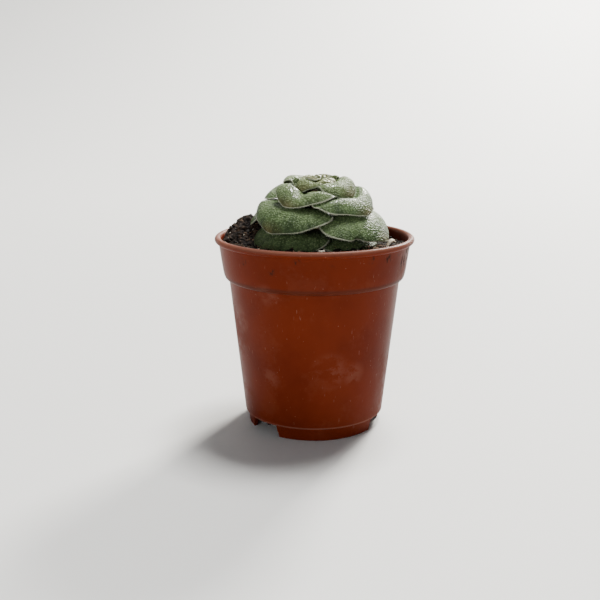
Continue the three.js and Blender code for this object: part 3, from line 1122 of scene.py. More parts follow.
@dataclass
class LeafBlade:
    """Builds one leaf as two facing grids that meet along a thin margin."""

    ROW_CROWDING: ClassVar[float] = 1.6
    LEAST_HALF_WIDTH: ClassVar[float] = 0.25
    DENT_PRESS: ClassVar[float] = 0.35
    TIP_THINNING: ClassVar[float] = 0.7
    FLANK_FLATNESS: ClassVar[float] = 2.4
    FLANK_ROUNDNESS: ClassVar[float] = 0.8
    TIP_TINT_REACH: ClassVar[float] = 3.6

    shape: LeafShape
    rows: int = 56
    columns: int = 52
    upper: np.ndarray = field(init=False)
    lower: np.ndarray = field(init=False)
    margin: np.ndarray = field(init=False)
    tipness: np.ndarray = field(init=False)

    def __post_init__(self) -> None:
        """Places both grids before the leaves are nested."""
        shape, line = self.shape, BladeLine(self.shape)
        rows = np.linspace(0, 1, self.rows)
        share = (1 - (1 - rows) ** self.ROW_CROWDING)[:, None] * np.ones(self.columns)
        across = np.sin(np.linspace(-1, 1, self.columns) * math.pi / 2)[None, :] * np.ones((self.rows, 1))
        half = np.maximum(self.LEAST_HALF_WIDTH, shape.width * line.length * self.outline(share))
        side = across * half * (1 + shape.skew * np.sign(across))
        along = share * line.length
        reach = np.hypot(along + shape.inner, side)
        turn = np.arctan2(side, along + shape.inner)
        pressed = np.zeros_like(turn)
        outer = np.maximum(np.abs(across), share)
        for dent in shape.dents:
            pull = np.exp(-(((turn - dent.turn) / dent.spread) ** 2))
            reach -= dent.depth * pull * outer**6
            pressed += self.DENT_PRESS * pull * outer**2
        wave = 0.11 * np.sin(turn * 7 + shape.seed * 2.3) + 0.07 * np.sin(turn * 15 + shape.seed * 4.1)
        reach += wave * outer**4
        along_line = np.clip((reach - shape.inner) / line.length, 0, 1)
        radius, height, out, up = line.at(along_line)
        fullness = np.minimum(1, 0.25 + share * 2) * (1 - share**3) ** self.TIP_THINNING
        flank = (1 - np.abs(across) ** self.FLANK_FLATNESS) ** self.FLANK_ROUNDNESS
        belly = shape.thick * fullness * flank
        drop = (shape.droop * turn + shape.roll) * turn * along_line
        uneven = self.unevenness(turn, along_line) * fullness - pressed
        for nudge in shape.nudges:
            near = np.exp(-(((np.degrees(turn) - nudge.turn) / nudge.spread) ** 2))
            near *= np.exp(-(((along_line - nudge.along) / nudge.reach) ** 2)) * np.minimum(1, share * 4)
            radius = radius + nudge.out * near
            height = height + nudge.up * near
        self.margin = np.minimum((1 - np.abs(across)) * half, (1 - share) * line.length)
        from_tip = np.hypot((1 - along_line) * line.length, turn * radius * 0.7)
        self.tipness = np.clip(1 - from_tip / self.TIP_TINT_REACH, 0, 1)
        for name, sign in (("upper", 1), ("lower", -1)):
            lift = sign * (shape.edge / 2 + belly / 2) + uneven
            r, h = radius - up * lift, height + out * lift - drop
            angle = turn + math.radians(shape.azimuth - 90)
            setattr(self, name, np.stack((r * np.cos(angle), r * np.sin(angle), h), -1))

    def outline(self, share: np.ndarray) -> np.ndarray:
        """Gives half the width at shares of the length.

        Args:
            share: Shares of the length.

        Returns:
            Half the width, as a share of the widest.
        """
        root = 0.45 + 0.55 * np.sin(math.pi / 2 * np.clip(share / WIDEST_SHARE, 0, 1))
        past = np.clip((share - WIDEST_SHARE) / (1 - WIDEST_SHARE), 0, 1)
        return np.where(share < WIDEST_SHARE, root, np.maximum(1 - past**2, 0) ** self.shape.point)

    def unevenness(self, turn: np.ndarray, along: np.ndarray) -> np.ndarray:
        """Gives the face's slow swells, in millimetres.

        Args:
            turn: Angle from the leaf's middle, in radians.
            along: Share of the blade's line.

        Returns:
            The height of the swells.
        """
        seed = self.shape.seed
        swell = 0.11 * np.sin(turn * 5.1 + seed * 1.7) * np.sin(along * 6.5 + seed)
        return swell + 0.07 * np.sin(turn * 9.7 - seed) * np.cos(along * 11 + seed * 2.9)

    def shell(self) -> tuple[np.ndarray, Faces]:
        """Joins both grids into one closed skin.

        Returns:
            The vertices in the rosette's frame, and the faces.
        """
        points = np.vstack((self.upper.reshape(-1, 3), self.lower.reshape(-1, 3)))
        return points, facing_sheets(self.rows, self.columns)

    def nest_under(self, roofs: Sequence[BVHTree], gap: float) -> None:
        """Presses the leaf down beneath the younger leaves that lie over it.

        Args:
            roofs: The younger leaves' skins.
            gap: The air left under them.
        """
        push = np.zeros(self.upper.shape[:2])
        up = Vector((0, 0, 1))
        for i in range(self.rows):
            for j in range(self.columns):
                x, y, z = self.upper[i, j]
                for roof in roofs:
                    hit = roof.ray_cast(Vector((x, y, -30)), up)[0]
                    if hit is not None and z > hit.z - gap:
                        push[i, j] = max(push[i, j], z - hit.z + gap)
        for _ in range(2):
            padded = np.pad(push, 1, mode="edge")
            sides = (padded[:-2, 1:-1], padded[2:, 1:-1], padded[1:-1, :-2], padded[1:-1, 2:])
            push = np.maximum.reduce((push, *sides))
        need = push.copy()
        for _ in range(10):
            padded = np.pad(push, 1, mode="edge")
            ring = (padded[:-2, 1:-1] + padded[2:, 1:-1] + padded[1:-1, :-2] + padded[1:-1, 2:]) / 4
            push = np.maximum(need, ring * 0.97)
        self.upper[..., 2] -= push
        self.lower[..., 2] -= push

    def roof(self) -> BVHTree:
        """Gives the skin as a tree that rays can be cast at."""
        points, faces = self.shell()
        return BVHTree.FromPolygons(points.tolist(), faces)

    def hairs(self, dice: random.Random) -> list[Placement]:
        """Places the fine hairs along the margin.

        Args:
            dice: The seeded random source.

        Returns:
            One placed copy of the hair for each, in the rosette's frame.
        """
        middle = (self.upper + self.lower) / 2
        last_row, last_column = self.rows - 1, self.columns - 1
        walk = [(i, last_column, i, last_column - 3) for i in range(8, self.rows)]
        walk += [(last_row, j, last_row - 3, j) for j in range(last_column - 1, 0, -1)]
        walk += [(i, 0, i, 3) for i in range(last_row, 8, -1)]
        placed: list[Placement] = []
        before, gone = None, 0.0
        for i, j, m, n in walk:
            edge = Vector(middle[i, j])
            gone += 0 if before is None else (edge - before).length
            before = edge
            outward = (edge - Vector(middle[m, n])).normalized()
            while gone > 0:
                gone -= dice.uniform(*HAIR_SPACING)
                lean = Vector([dice.uniform(-0.5, 0.5) for _ in range(3)])
                turn = (outward + lean).to_track_quat("Z", "Y").to_matrix().to_4x4()
                long, wide = dice.uniform(*HAIR_LENGTH), dice.uniform(*HAIR_RADIUS)
                size = Matrix.Diagonal((wide, wide, long, 1))
                jitter = Vector([dice.uniform(-0.08, 0.08) for _ in range(3)])
                placed.append((0, Matrix.Translation(edge + jitter) @ turn @ size))
        return placed


HAIR: SmallShape = (
    np.array([(1, 0, 0), (-0.5, 0.87, 0), (-0.5, -0.87, 0), (0, 0, 1)], float),
    np.array([(0, 1, 3), (1, 2, 3), (2, 0, 3), (0, 2, 1)]),
)


@dataclass(frozen=True)
class LeafPair:
    """A front leaf and its mate, which has a tip and shifts of its own."""

    front: LeafShape
    back_tip: Point2
    back_nudges: tuple[Nudge, ...] = ()

    def leaves(self, number: int) -> list[tuple[str, LeafShape]]:
        """Gives both leaves.

        Args:
            number: The pair's place from the youngest, from 1.

        Returns:
            The front leaf and the back leaf, each with its node's name.
        """
        front = replace(self.front, seed=number * 2 + 1)
        dents = tuple(replace(dent, depth=dent.depth * 0.6) for dent in front.dents)
        back = replace(
            front, azimuth=front.azimuth + 180, tip=self.back_tip, seed=number * 2 + 2,
            dents=dents, nudges=self.back_nudges,
        )
        return [(f"leaf_pair_{number}_front", front), (f"leaf_pair_{number}_back", back)]


@dataclass
class Rosette:
    """The leaves in crossed pairs, youngest first, and the heart in their middle."""

    place: Point2 = (0.5, 0.5)
    lean_to_front: float = 4.0
    lean_to_right: float = 1.5
    pairs: tuple[LeafPair, ...] = (
        LeafPair(
            LeafShape(
                -40, 13.4, (3.6, 15.5), (6.9, 13.2), 0.75, 0.1, 0.8, 0.4, -1.0, 1.3, youth=0.35,
                nudges=(
                    Nudge(-8, -0.7, 0.2, 16, 1.0),
                    Nudge(38, 0.4, 0, 18),
                    Nudge(28, -1.0, 0, 24, 0.5, 0.5),
                ),
            ),
            (6.6, 13.4),
            (Nudge(-42, 1.8, 0.5, 24, 0.9, 0.6),),
        ),
        LeafPair(
            LeafShape(
                59, 11.8, (7.2, 14.8), (10.9, 11.9), 0.68, -0.12, 0.73, 0.3, -1.2, 1.8, youth=0.16,
                nudges=(
                    Nudge(-52, 0.9, 0, 20, 0.8),
                    Nudge(36, 0.6, 0.2, 26, 0.4),
                    Nudge(4, -0.4, 0, 16, 1.0, 0.4),
                ),
            ),
            (10.4, 12.9),
        ),
        LeafPair(
            LeafShape(
                -34, 10.2, (10.0, 12.8), (14.8, 9.6), 0.63, 0.2, 0.78, 0.2, 1.0, 2.0, youth=0.08,
                nudges=(
                    Nudge(-28, 0.9, 0, 24, 0.55),
                    Nudge(9, -1.4, 0, 9, 0.55, 0.3),
                    Nudge(46, 2.0, 0, 24, 0.85),
                    Nudge(30, -0.5, 0, 16, 0.55, 0.3),
                ),
            ),
            (14, 9.4),
        ),
        LeafPair(
            LeafShape(
                55, 8.4, (10.2, 12.2), (16.7, 7.8), 0.69, -0.15, 0.73, 0.5, 0.4, 2.2,
                nudges=(
                    Nudge(-60, 1.0, 0, 17, 0.85),
                    Nudge(34, 1.3, 0, 22, 0.6),
                    Nudge(-4, -0.9, 0, 20, 0.5, 0.35),
                ),
            ),
            (16.2, 8.6),
            (Nudge(26, -0.8, 0, 22, 0.7), Nudge(52, -1.3, 0, 18, 0.85, 0.5)),
        ),
        LeafPair(
            LeafShape(
                -41, 6.4, (12.7, 7.9), (19.0, 3.3), 0.64, 0.08, 0.71, 0.4, 1.1, 2.4,
                nudges=(
                    Nudge(-46, 1.3, 0, 18, 0.6),
                    Nudge(48, 1.3, 0, 18, 0.8, 0.6),
                    Nudge(4, 0.8, 0, 26, 0.5, 0.3),
                ),
            ),
            (18.4, 3.4),
        ),
        LeafPair(
            LeafShape(
                64, 4.2, (12.8, 6.4), (20.9, 1.3), 0.62, -0.18, 0.67, 0.5, -1.1, 2.4,
                dents=(Dent(-0.52, 1.2, 0.08),),
                nudges=(
                    Nudge(-46, 0.6, 0, 22, 0.85),
                    Nudge(8, -0.9, 0.2, 14, 1.0, 0.4),
                    Nudge(-14, 0.9, 0, 30, 0.5, 0.3),
                ),
            ),
            (19.8, -1.7),
        ),
        LeafPair(
            LeafShape(-43, 1.9, (13.4, 1.8), (19.3, -3.4), 0.62, 0.06, 0.68, 0.5, -0.4, 2.2),
            (19, -3.2),
        ),
        LeafPair(
            LeafShape(55, 0.1, (12.8, 0.2), (18.6, -3.3), 0.62, 0, 0.68, 0.4, 0, 1.8),
            (18.4, -3),
        ),
    )
    heart_pairs: tuple[LeafShape, ...] = (
        LeafShape(20, 15.2, (0.5, 16.3), (1.3, 16.0), 0.7, 0, 0.7, 0, 0, 0.5, 0.15, 0.2, 1.0),
        LeafShape(-62, 14.9, (0.9, 16.2), (2.3, 15.9), 0.72, 0, 0.7, 0.1, 0, 0.6, 0.3, 0.22, 1.0),
        LeafShape(-38, 14.6, (1.7, 16.2), (3.9, 15.7), 0.72, 0, 0.7, 0.1, 0.3, 0.7, 0.5, 0.24, 0.95),
        LeafShape(47, 14.0, (2.6, 15.7), (5.2, 14.6), 0.74, 0, 0.7, 0.2, -0.2, 0.9, 0.7, 0.26, 0.8),
    )
    young_radius: float = 6.0
    young_fade: float = 3.0
    young_share: float = 0.65
    nest_gap: float = 0.1
    heart_gap: float = 0.02
    seed: int = 11

    def matrix(self) -> Matrix:
        """Gives the lean and place of the rosette's frame.

        Returns:
            The matrix from that frame to the part's, in millimetres.
        """
        lean = Matrix.Rotation(math.radians(self.lean_to_right), 4, "Y")
        lean @= Matrix.Rotation(math.radians(self.lean_to_front), 4, "X")
        return Matrix.Translation((*self.place, POT_HEIGHT)) @ lean

    def lean(self, points: np.ndarray) -> np.ndarray:
        """Moves points from the rosette's frame into the part's."""
        grid = np.array(self.matrix())
        return points @ grid[:3, :3].T + grid[:3, 3]

    def build(self, finishes: Finishes) -> None:
        """Builds the heart, every leaf and the hairs of their margins.

        Args:
            finishes: The part's materials.
        """
        dice = random.Random(self.seed)
        roofs: list[BVHTree] = []
        hairs: list[Placement] = []
        heart = self.grow_heart(roofs, hairs, dice)
        self.dress(heart, "heart_leaves", finishes, Slot.YOUNG, "heart")
        for number, pair in enumerate(self.pairs, start=1):
            for node, shape in pair.leaves(number):
                blade = LeafBlade(shape)
                blade.nest_under(roofs, self.nest_gap)
                roofs.append(blade.roof())
                hairs += blade.hairs(dice)
                self.dress([blade], f"{node}_blade", finishes, Slot.LEAF, node)
        matrix = self.matrix()
        fringe = merge_copies("margin_hairs", [HAIR], [(shape, matrix @ place) for shape, place in hairs])
        fit(fringe, Slot.LEAF, finishes.hair)
        LOG.info("margin_hairs: %d hairs", len(hairs))

    def grow_heart(
        self, roofs: list[BVHTree], hairs: list[Placement], dice: random.Random
    ) -> list[LeafBlade]:
        """Grows the closed young leaves in the middle.

        Args:
            roofs: Collects the skins that older leaves lie under.
            hairs: Collects the hairs of their margins.
            dice: The seeded random source.

        Returns:
            The heart's blades.
        """
        blades: list[LeafBlade] = []
        for number, shape in enumerate(self.heart_pairs):
            for turn in (0, 180):
                blade = LeafBlade(replace(shape, azimuth=shape.azimuth + turn, seed=number + turn), 26, 24)
                blade.nest_under(roofs, self.heart_gap)
                roofs.append(blade.roof())
                hairs += blade.hairs(dice)
                blades.append(blade)
        return blades

    def dress(
        self, blades: Sequence[LeafBlade], name: str, finishes: Finishes, slot: Slot, node: str
    ) -> None:
        """Makes one piece out of finished blades.

        Args:
            blades: The blades that it holds.
            name: The piece's name.
            finishes: The part's materials.
            slot: The record's material slot.
            node: The solid that it replaces.
        """
        points, faces, margin, tip, youth = [], [], [], [], []
        count = 0
        for blade in blades:
            skin, skin_faces = blade.shell()
            points.append(skin)
            faces += [tuple(v + count for v in face) for face in skin_faces]
            count += len(skin)
            margin += [blade.margin.ravel()] * 2
            tip += [blade.tipness.ravel()] * 2
            inward = (self.young_radius - np.hypot(skin[:, 0], skin[:, 1])) / self.young_fade
            youth.append(np.maximum(blade.shape.youth, np.clip(inward, 0, 1) * self.young_share))
        piece = make_piece(name, self.lean(np.vstack(points)), faces)
        write_attribute(piece, "margin", np.concatenate(margin))
        write_attribute(piece, "tip", np.concatenate(tip))
        write_attribute(piece, "youth", np.concatenate(youth))
        fit(piece, slot, finishes.leaf, node)
        LOG.info("%s: %d faces", name, len(faces))


# Stem and roots


@dataclass
class StemAndRoots:
    """The short stem, its tap root and the laterals."""

    tap_depth: float = 27.0
    tap_radii: Point2 = (1.72, 0.42)
    laterals: int = 6
    first_lateral: float = 6.0
    lateral_step: float = 2.2
    lateral_radii: Point2 = (0.82, 0.36)
    lateral_reach: float = 11.0
    lateral_drop: float = 10.0

    def build(self, rosette: Rosette, finishes: Finishes) -> None:
        """Builds the stem and roots as one piece.

        Args:
            rosette: Gives the stem's lean.
            finishes: The part's materials.
        """
        matrix = rosette.matrix()
        stem_path = [matrix @ Vector((0, 0, h)) for h in np.linspace(-4, STEM_TOP, 20)]
        ringed = [STEM_RADIUS * (0.95 + 0.05 * math.sin(h * 3.1)) for h in range(20)]
        shapes = [tube(stem_path, ringed, 24)]
        stops = (
            Vector((*rosette.place, POT_HEIGHT - 2.5)),
            Vector((1.4, -0.2, POT_HEIGHT - 14)),
            Vector((-0.6, 0.8, POT_HEIGHT - self.tap_depth)),
        )
        shapes.append(self.root(stops, self.tap_radii, 16))
        for i in range(self.laterals):
            out = compass(20 + 360 / self.laterals * i + 9 * math.sin(i * 2.1))
            start = POT_HEIGHT - self.first_lateral - self.lateral_step * i
            reach = self.lateral_reach + 2.5 * math.cos(i * 1.7)
            middle = out * (reach * 0.55) + Vector((0, 0, start - 3.5))
            end = out * reach + Vector((0, 0, start - self.lateral_drop))
            shapes.append(self.root((Vector((0.9, 0.2, start)), middle, end), self.lateral_radii, 12))
        piece = fit(join_shapes("stem_and_root_bark", shapes), Slot.ROOT, finishes.root, "stem_and_roots")
        LOG.info("%s: %d faces", piece.name, len(piece.data.polygons))

    @staticmethod
    def root(stops: Sequence[Vector], radii: Point2, sides: int) -> SmallShape:
        """Makes one root through three points.

        Args:
            stops: Its start, middle and end.
            radii: Its radius at the start and at the end.
            sides: The number of its sides.

        Returns:
            Its vertices and its triangles.
        """
        start, middle, end = stops
        steps = np.linspace(0, 1, 24)
        knee = middle * 2 - (start + end) / 2
        path = [start * (1 - t) ** 2 + knee * (2 * t * (1 - t)) + end * t**2 for t in steps]
        ringed = [lerp(*radii, t) * (1 + 0.05 * math.sin(t * 40)) for t in steps]
        return tube(path, ringed, sides)


# The pot


@dataclass
class NurseryPot:
    """The thin moulded pot, turned and notched."""

    wall: float = 0.8
    bead: float = 0.85
    rim_depth: float = 1.6
    collar_top: float = 26.4
    collar_bottom: Point2 = (25.3, 43.3)
    body_top: Point2 = (23.7, 41.7)
    body_bottom: Point2 = (19.6, 3.9)
    floor_under: float = 2.6
    floor_top: float = 3.7
    foot: float = 18.75
    foot_thickness: float = 1.3
    notches: int = 3
    first_notch: float = -47.0
    notch_top: float = 9.4
    notch_bottom: float = 11.4
    notch_inner: float = 12.0
    notch_outer: float = 22.0
    drain_inner: float = 13.8
    segments: int = 240

    def profile(self) -> list[Point2]:
        """Gives the pot's outline from under its floor round to inside it.

        Returns:
            Radius and height pairs.
        """
        wall, foot = self.wall, self.foot
        outside = rounded(
            (
                (0, self.floor_under, 0),
                (foot - self.foot_thickness - 0.2, self.floor_under, 0.25),
                (foot - self.foot_thickness, 0, 0.25),
                (foot - 0.25, 0, 0.3),
                (foot - 0.05, self.body_bottom[1] - 0.35, 0.1),
                (self.body_bottom[0] + 0.02, self.body_bottom[1] - 0.25, 0.2),
                (self.body_bottom[0] + 0.04, self.body_bottom[1] + 0.2, 0.25),
                (*self.body_top, 0.12),
                (self.collar_bottom[0] - 0.45, self.body_top[1] + 0.35, 1.3),
                (self.collar_bottom[0] + 0.05, self.collar_bottom[1] + 0.9, 1.0),
                (self.collar_top, POT_HEIGHT - 2 * self.bead, 0),
            )
        )
        centre = (RIM_RADIUS - self.bead, POT_HEIGHT - self.bead)
        turns = np.radians(np.linspace(-75, 150, 22))
        rim = [(centre[0] + self.bead * math.cos(t), centre[1] + self.bead * math.sin(t)) for t in turns]
        inside = rounded(
            (
                (*rim[-1], 0),
                (self.collar_top - wall, POT_HEIGHT - self.rim_depth, 0.4),
                (self.collar_bottom[0] - wall, self.collar_bottom[1] + 0.3, 0.6),
                (self.body_top[0] - wall, self.body_top[1] - 0.2, 0.5),
                (self.body_bottom[0] - wall + 0.1, self.floor_top + 0.5, 0.5),
                (self.body_bottom[0] - wall - 0.4, self.floor_top, 0.3),
                (0, self.floor_top, 0),
            )
        )
        return outside + rim + inside[1:]

    def bar(self, azimuth: float, inner: float, outer: float, low: Point2, high: Point2) -> bpy.types.Object:
        """Makes a radial cutter.

        Args:
            azimuth: The way that it points.
            inner: The radius where it starts.
            outer: The radius where it ends.
            low: Its width and height at the bottom.
            high: Its width and height at the top.

        Returns:
            The closed cutter.
        """
        out = compass(azimuth)
        across = Vector((-out.y, out.x, 0))
        points = []
        for radius in (inner, outer):
            for (wide, z), sign in ((low, -1), (low, 1), (high, 1), (high, -1)):
                points.append(out * radius + across * (wide / 2 * sign) + Vector((0, 0, z)))
        faces = [(0, 3, 2, 1), (4, 5, 6, 7), (0, 1, 5, 4), (1, 2, 6, 5), (2, 3, 7, 6), (3, 0, 4, 7)]
        return make_piece("cutter", np.array([p[:] for p in points]), faces)

    def notch_cutters(self, azimuth: float) -> list[bpy.types.Object]:
        """Makes the cutters of one notch in the foot ring and of the drain slot at it.

        Args:
            azimuth: The way that they point.

        Returns:
            The closed cutters.
        """
        wide, narrow = self.notch_bottom, self.notch_top
        slot_top, edge_top = self.floor_top + 1, self.body_bottom[1] - 0.4
        return [
            self.bar(azimuth, self.notch_inner, self.notch_outer, (wide, -1), (narrow, self.floor_under)),
            self.bar(azimuth, self.drain_inner, self.foot - 0.6, (narrow, 1), (narrow, slot_top)),
            self.bar(azimuth, self.drain_inner + 2, self.notch_outer, (narrow, 1), (narrow, edge_top)),
        ]

    def build(self, finishes: Finishes) -> None:
        """Builds the pot.

        Args:
            finishes: The part's materials.
        """
        pot = lathe("pot_shell", self.profile(), self.segments)
        cutters: list[bpy.types.Object] = []
        for i in range(self.notches):
            cutters += self.notch_cutters(self.first_notch + 360 / self.notches * i)
        cut_away(pot, cutters)
        crease(pot, 40)
        fit(pot, Slot.POT, finishes.pot, "pot")
        LOG.info("pot_shell: %d faces", len(pot.data.polygons))


# The soil


@dataclass
class PottingSoil:
    """Loose dark soil, heaped at the back left, with crumbs, fibres and grit."""

    level: float = -2.6
    rise_to_front: float = 0.05
    mound: Point2 = (-18.2, 5.0)
    mound_height: float = 6.6
    mound_spread: float = 4.8
    heap_spread: Point2 = (3.4, 4.4)
    heap_limit: float = 24.0
    scatter_outer: float = 24.2
    fibre_outer: float = 24.6
    crumbs: int = 2600
    crumb_size: Point2 = (0.14, 0.5)
    clod_size: Point2 = (0.5, 0.85)
    clod_every: int = 30
    coarse_from: float = 0.35
    slot_crumbs: int = 90
    slot_radii: Point2 = (15.5, 18.3)
    fibres: int = 230
    fibre_length: Point2 = (1.2, 4.2)
    fibre_radius: Point2 = (0.035, 0.1)
    grains: int = 60
    grain_size: Point2 = (0.1, 0.32)
    shard_size: Point3 = (0.62, 0.3, 0.3)
    seed: int = 5
    litter: tuple[Point2, ...] = (
        (50, 21.5), (53, 22.5), (56, 21.2), (46, 22.0), (59, 22.4), (49, 20.6),
        (48, 19.4), (53, 19.8), (58, 20.2), (44, 20.4), (-10, 21.8),
    )
    shards: tuple[Point2, ...] = ((6, 21.6), (9, 21.9), (4.5, 22.2), (66, 21.4))
    rings: int = 96
    sectors: int = 300
    gap: float = 0.12

    def height(self, x: float, y: float) -> float:
        """Gives the soil's height from the rim's plane.

        Args:
            x: Distance to the right of the axis.
            y: Distance behind the axis.

        Returns:
            The height without the fine grain.
        """
        away = math.hypot(x - self.mound[0], y - self.mound[1]) / self.mound_spread
        heap = self.mound_height * math.exp(-away * away / 2)
        clumps = 0.35 * math.sin(0.9 * x + 1.3) * math.cos(0.8 * y) + 0.25 * math.sin(1.7 * x - 1.1 * y)
        return self.level - self.rise_to_front * y + heap + clumps

    def grain(self, x: float, y: float) -> float:
        """Gives the fine unevenness of the surface."""
        broad = noise.fractal(Vector((x * 0.45, y * 0.45, 3.1)), 0.9, 2.1, 5)
        return 0.55 * broad + 0.22 * noise.noise(Vector((x * 2.3, y * 2.3, 9.4)))

    def surface(self, x: float, y: float) -> float:
        """Gives the height of the grained surface above the ground."""
        return POT_HEIGHT + self.height(x, y) + self.grain(x, y)

    def inside(self, z: float, pot: NurseryPot) -> float:
        """Gives the radius just inside the pot's wall.

        Args:
            z: The height above the ground.
            pot: The pot that holds the soil.

        Returns:
            The radius.
        """
        if z < pot.body_top[1]:
            share = (z - pot.floor_top) / (pot.body_top[1] - pot.floor_top)
            return lerp(pot.body_bottom[0], pot.body_top[0], share) - pot.wall - self.gap
        collar = POT_HEIGHT - pot.rim_depth - pot.collar_bottom[1]
        share = min(1, max(0, (z - pot.collar_bottom[1]) / collar))
        return lerp(pot.collar_bottom[0], pot.collar_top, share) - pot.wall - self.gap

    def build(self, pot: NurseryPot, finishes: Finishes) -> None:
        """Builds the soil body, then what lies on it.

        Args:
            pot: The pot that holds it.
            finishes: The part's materials.
        """
        self.build_body(pot, finishes)
        dice = random.Random(self.seed)
        self.scatter_crumbs(dice, pot, finishes)
        self.scatter_fibres(dice, finishes)
        self.scatter_grit(dice, finishes)

    def build_body(self, pot: NurseryPot, finishes: Finishes) -> None:
        """Builds the closed body of soil.

        Args:
            pot: The pot that holds it.
            finishes: The part's materials.
        """
        floor = pot.floor_top + self.gap
        walls = [(self.inside(floor, pot) - 0.5, floor), (self.inside(floor + 1, pot), floor + 1)]
        walls += [(self.inside(z, pot), z) for z in (pot.body_top[1] - 0.6, pot.collar_bottom[1] + 0.8)]
        edge = self.inside(POT_HEIGHT - 3, pot)
        turns = [2 * math.pi * k / self.sectors for k in range(self.sectors)]
        points = [(r * math.cos(t), r * math.sin(t), z) for r, z in walls for t in turns]
        for i in range(self.rings):
            radius = edge * (1 - i / self.rings)
            for t in turns:
                x, y = radius * math.cos(t), radius * math.sin(t)
                points.append((x, y, self.surface(x, y)))
        rows = len(points) // self.sectors
        faces: Faces = []
        for row in range(rows - 1):
            for k in range(self.sectors):
                n = (k + 1) % self.sectors
                low, high = row * self.sectors, (row + 1) * self.sectors
                faces.append((low + k, low + n, high + n, high + k))
        faces.append(tuple(range(self.sectors))[::-1])
        faces.append(tuple((rows - 1) * self.sectors + k for k in range(self.sectors)))
        body = fit(make_piece("soil_body", np.array(points), faces), Slot.SOIL, finishes.soil, "soil")
        LOG.info("%s: %d faces", body.name, len(faces))

    def spot(self, dice: random.Random, inner: float = 8.0) -> Vector:
        """Picks a place on the soil.

        Args:
            dice: The seeded random source.
            inner: The radius that it stays outside.

        Returns:
            The place on the surface.
        """
        radius = math.sqrt(dice.uniform(inner**2, self.scatter_outer**2))
        turn = dice.uniform(0, 2 * math.pi)
        x, y = radius * math.cos(turn), radius * math.sin(turn)
        return Vector((x, y, self.surface(x, y)))

    def heap_spot(self, dice: random.Random) -> Vector:
        """Picks a place on the heap.

        Args:
            dice: The seeded random source.

        Returns:
            The place on the surface.
        """
        x = dice.gauss(self.mound[0], self.heap_spread[0])
        y = dice.gauss(self.mound[1], self.heap_spread[1])
        while math.hypot(x, y) > self.heap_limit:
            x, y = x * 0.97, y * 0.97
        return Vector((x, y, self.surface(x, y)))

    def scatter_crumbs(self, dice: random.Random, pot: NurseryPot, finishes: Finishes) -> None:
        """Scatters crumbs of soil, thicker on the heap, and a few that show at the drain slots.

        Args:
            dice: The seeded random source.
            pot: The pot, for its drain slots.
            finishes: The part's materials.
        """
        shapes = [lump(1, 0.8, seed) for seed in range(6)] + [lump(2, 1.1, seed) for seed in range(6, 10)]
        places: list[Placement] = []
        for i in range(self.crumbs):
            heap = i % 3 == 0
            at = self.heap_spot(dice) if heap else self.spot(dice)
            size = dice.uniform(*self.crumb_size) ** 1.3 * (1.5 if heap else 1)
            if i % self.clod_every == 0:
                size = dice.uniform(*self.clod_size)
            turn, flat = tumble(dice, size, 0.4)
            lift = Vector((0, 0, size * 0.25))
            shape = dice.randrange(6) if size < self.coarse_from else dice.randrange(6, 10)
            places.append((shape, Matrix.Translation(at + lift) @ turn @ flat))
        for _ in range(self.slot_crumbs):
            azimuth = pot.first_notch + 360 / pot.notches * dice.randrange(pot.notches) + dice.gauss(0, 4.5)
            at = compass(azimuth) * dice.uniform(*self.slot_radii)
            at.z = pot.floor_top - dice.uniform(-0.1, 1.0)
            shape = dice.randrange(6)
            places.append((shape, Matrix.Translation(at) @ Matrix.Scale(dice.uniform(0.25, 0.6), 4)))
        fit(merge_copies("soil_crumbs", shapes, places), Slot.SOIL, finishes.crumb)
        LOG.info("soil_crumbs: %d crumbs", len(places))

    def scatter_fibres(self, dice: random.Random, finishes: Finishes) -> None:
        """Scatters peat fibres and fine roots.

        Args:
            dice: The seeded random source.
            finishes: The part's materials.
        """
        shapes: list[SmallShape] = []
        for i in range(self.fibres):
            at = self.heap_spot(dice) if i % 3 == 0 else self.spot(dice, 10)
            heading = compass(dice.uniform(0, 360)) + Vector((0, 0, dice.uniform(-0.1, 0.5)))
            length, radius = dice.uniform(*self.fibre_length), dice.uniform(*self.fibre_radius)
            bend = Vector([dice.uniform(-0.5, 0.5) for _ in range(3)])
            steps = [k / 6 - 0.5 for k in range(7)]
            path = [at + heading * (length * t) + bend * (length * (t * t - 0.1)) for t in steps]
            inside = [p for p in path if math.hypot(p.x, p.y) < self.fibre_outer]
            if len(inside) > 3:
                shapes.append(tube(inside, [radius] * len(inside), 5))
        for azimuth, radius in self.litter:
            at = compass(azimuth) * radius
            at.z = POT_HEIGHT + self.height(at.x, at.y) + 0.7
            side = compass(azimuth + dice.uniform(50, 130)) * dice.uniform(0.8, 1.5)
            side.z = dice.uniform(-0.6, 0.6)
            path = [at - side, at + Vector((0, 0, 0.3)), at + side]
            shapes.append(tube(path, [0.1, 0.16, 0.07], 5))
        fit(join_shapes("soil_fibres", shapes), Slot.SOIL, finishes.fibre)
        LOG.info("soil_fibres: %d fibres", len(shapes))

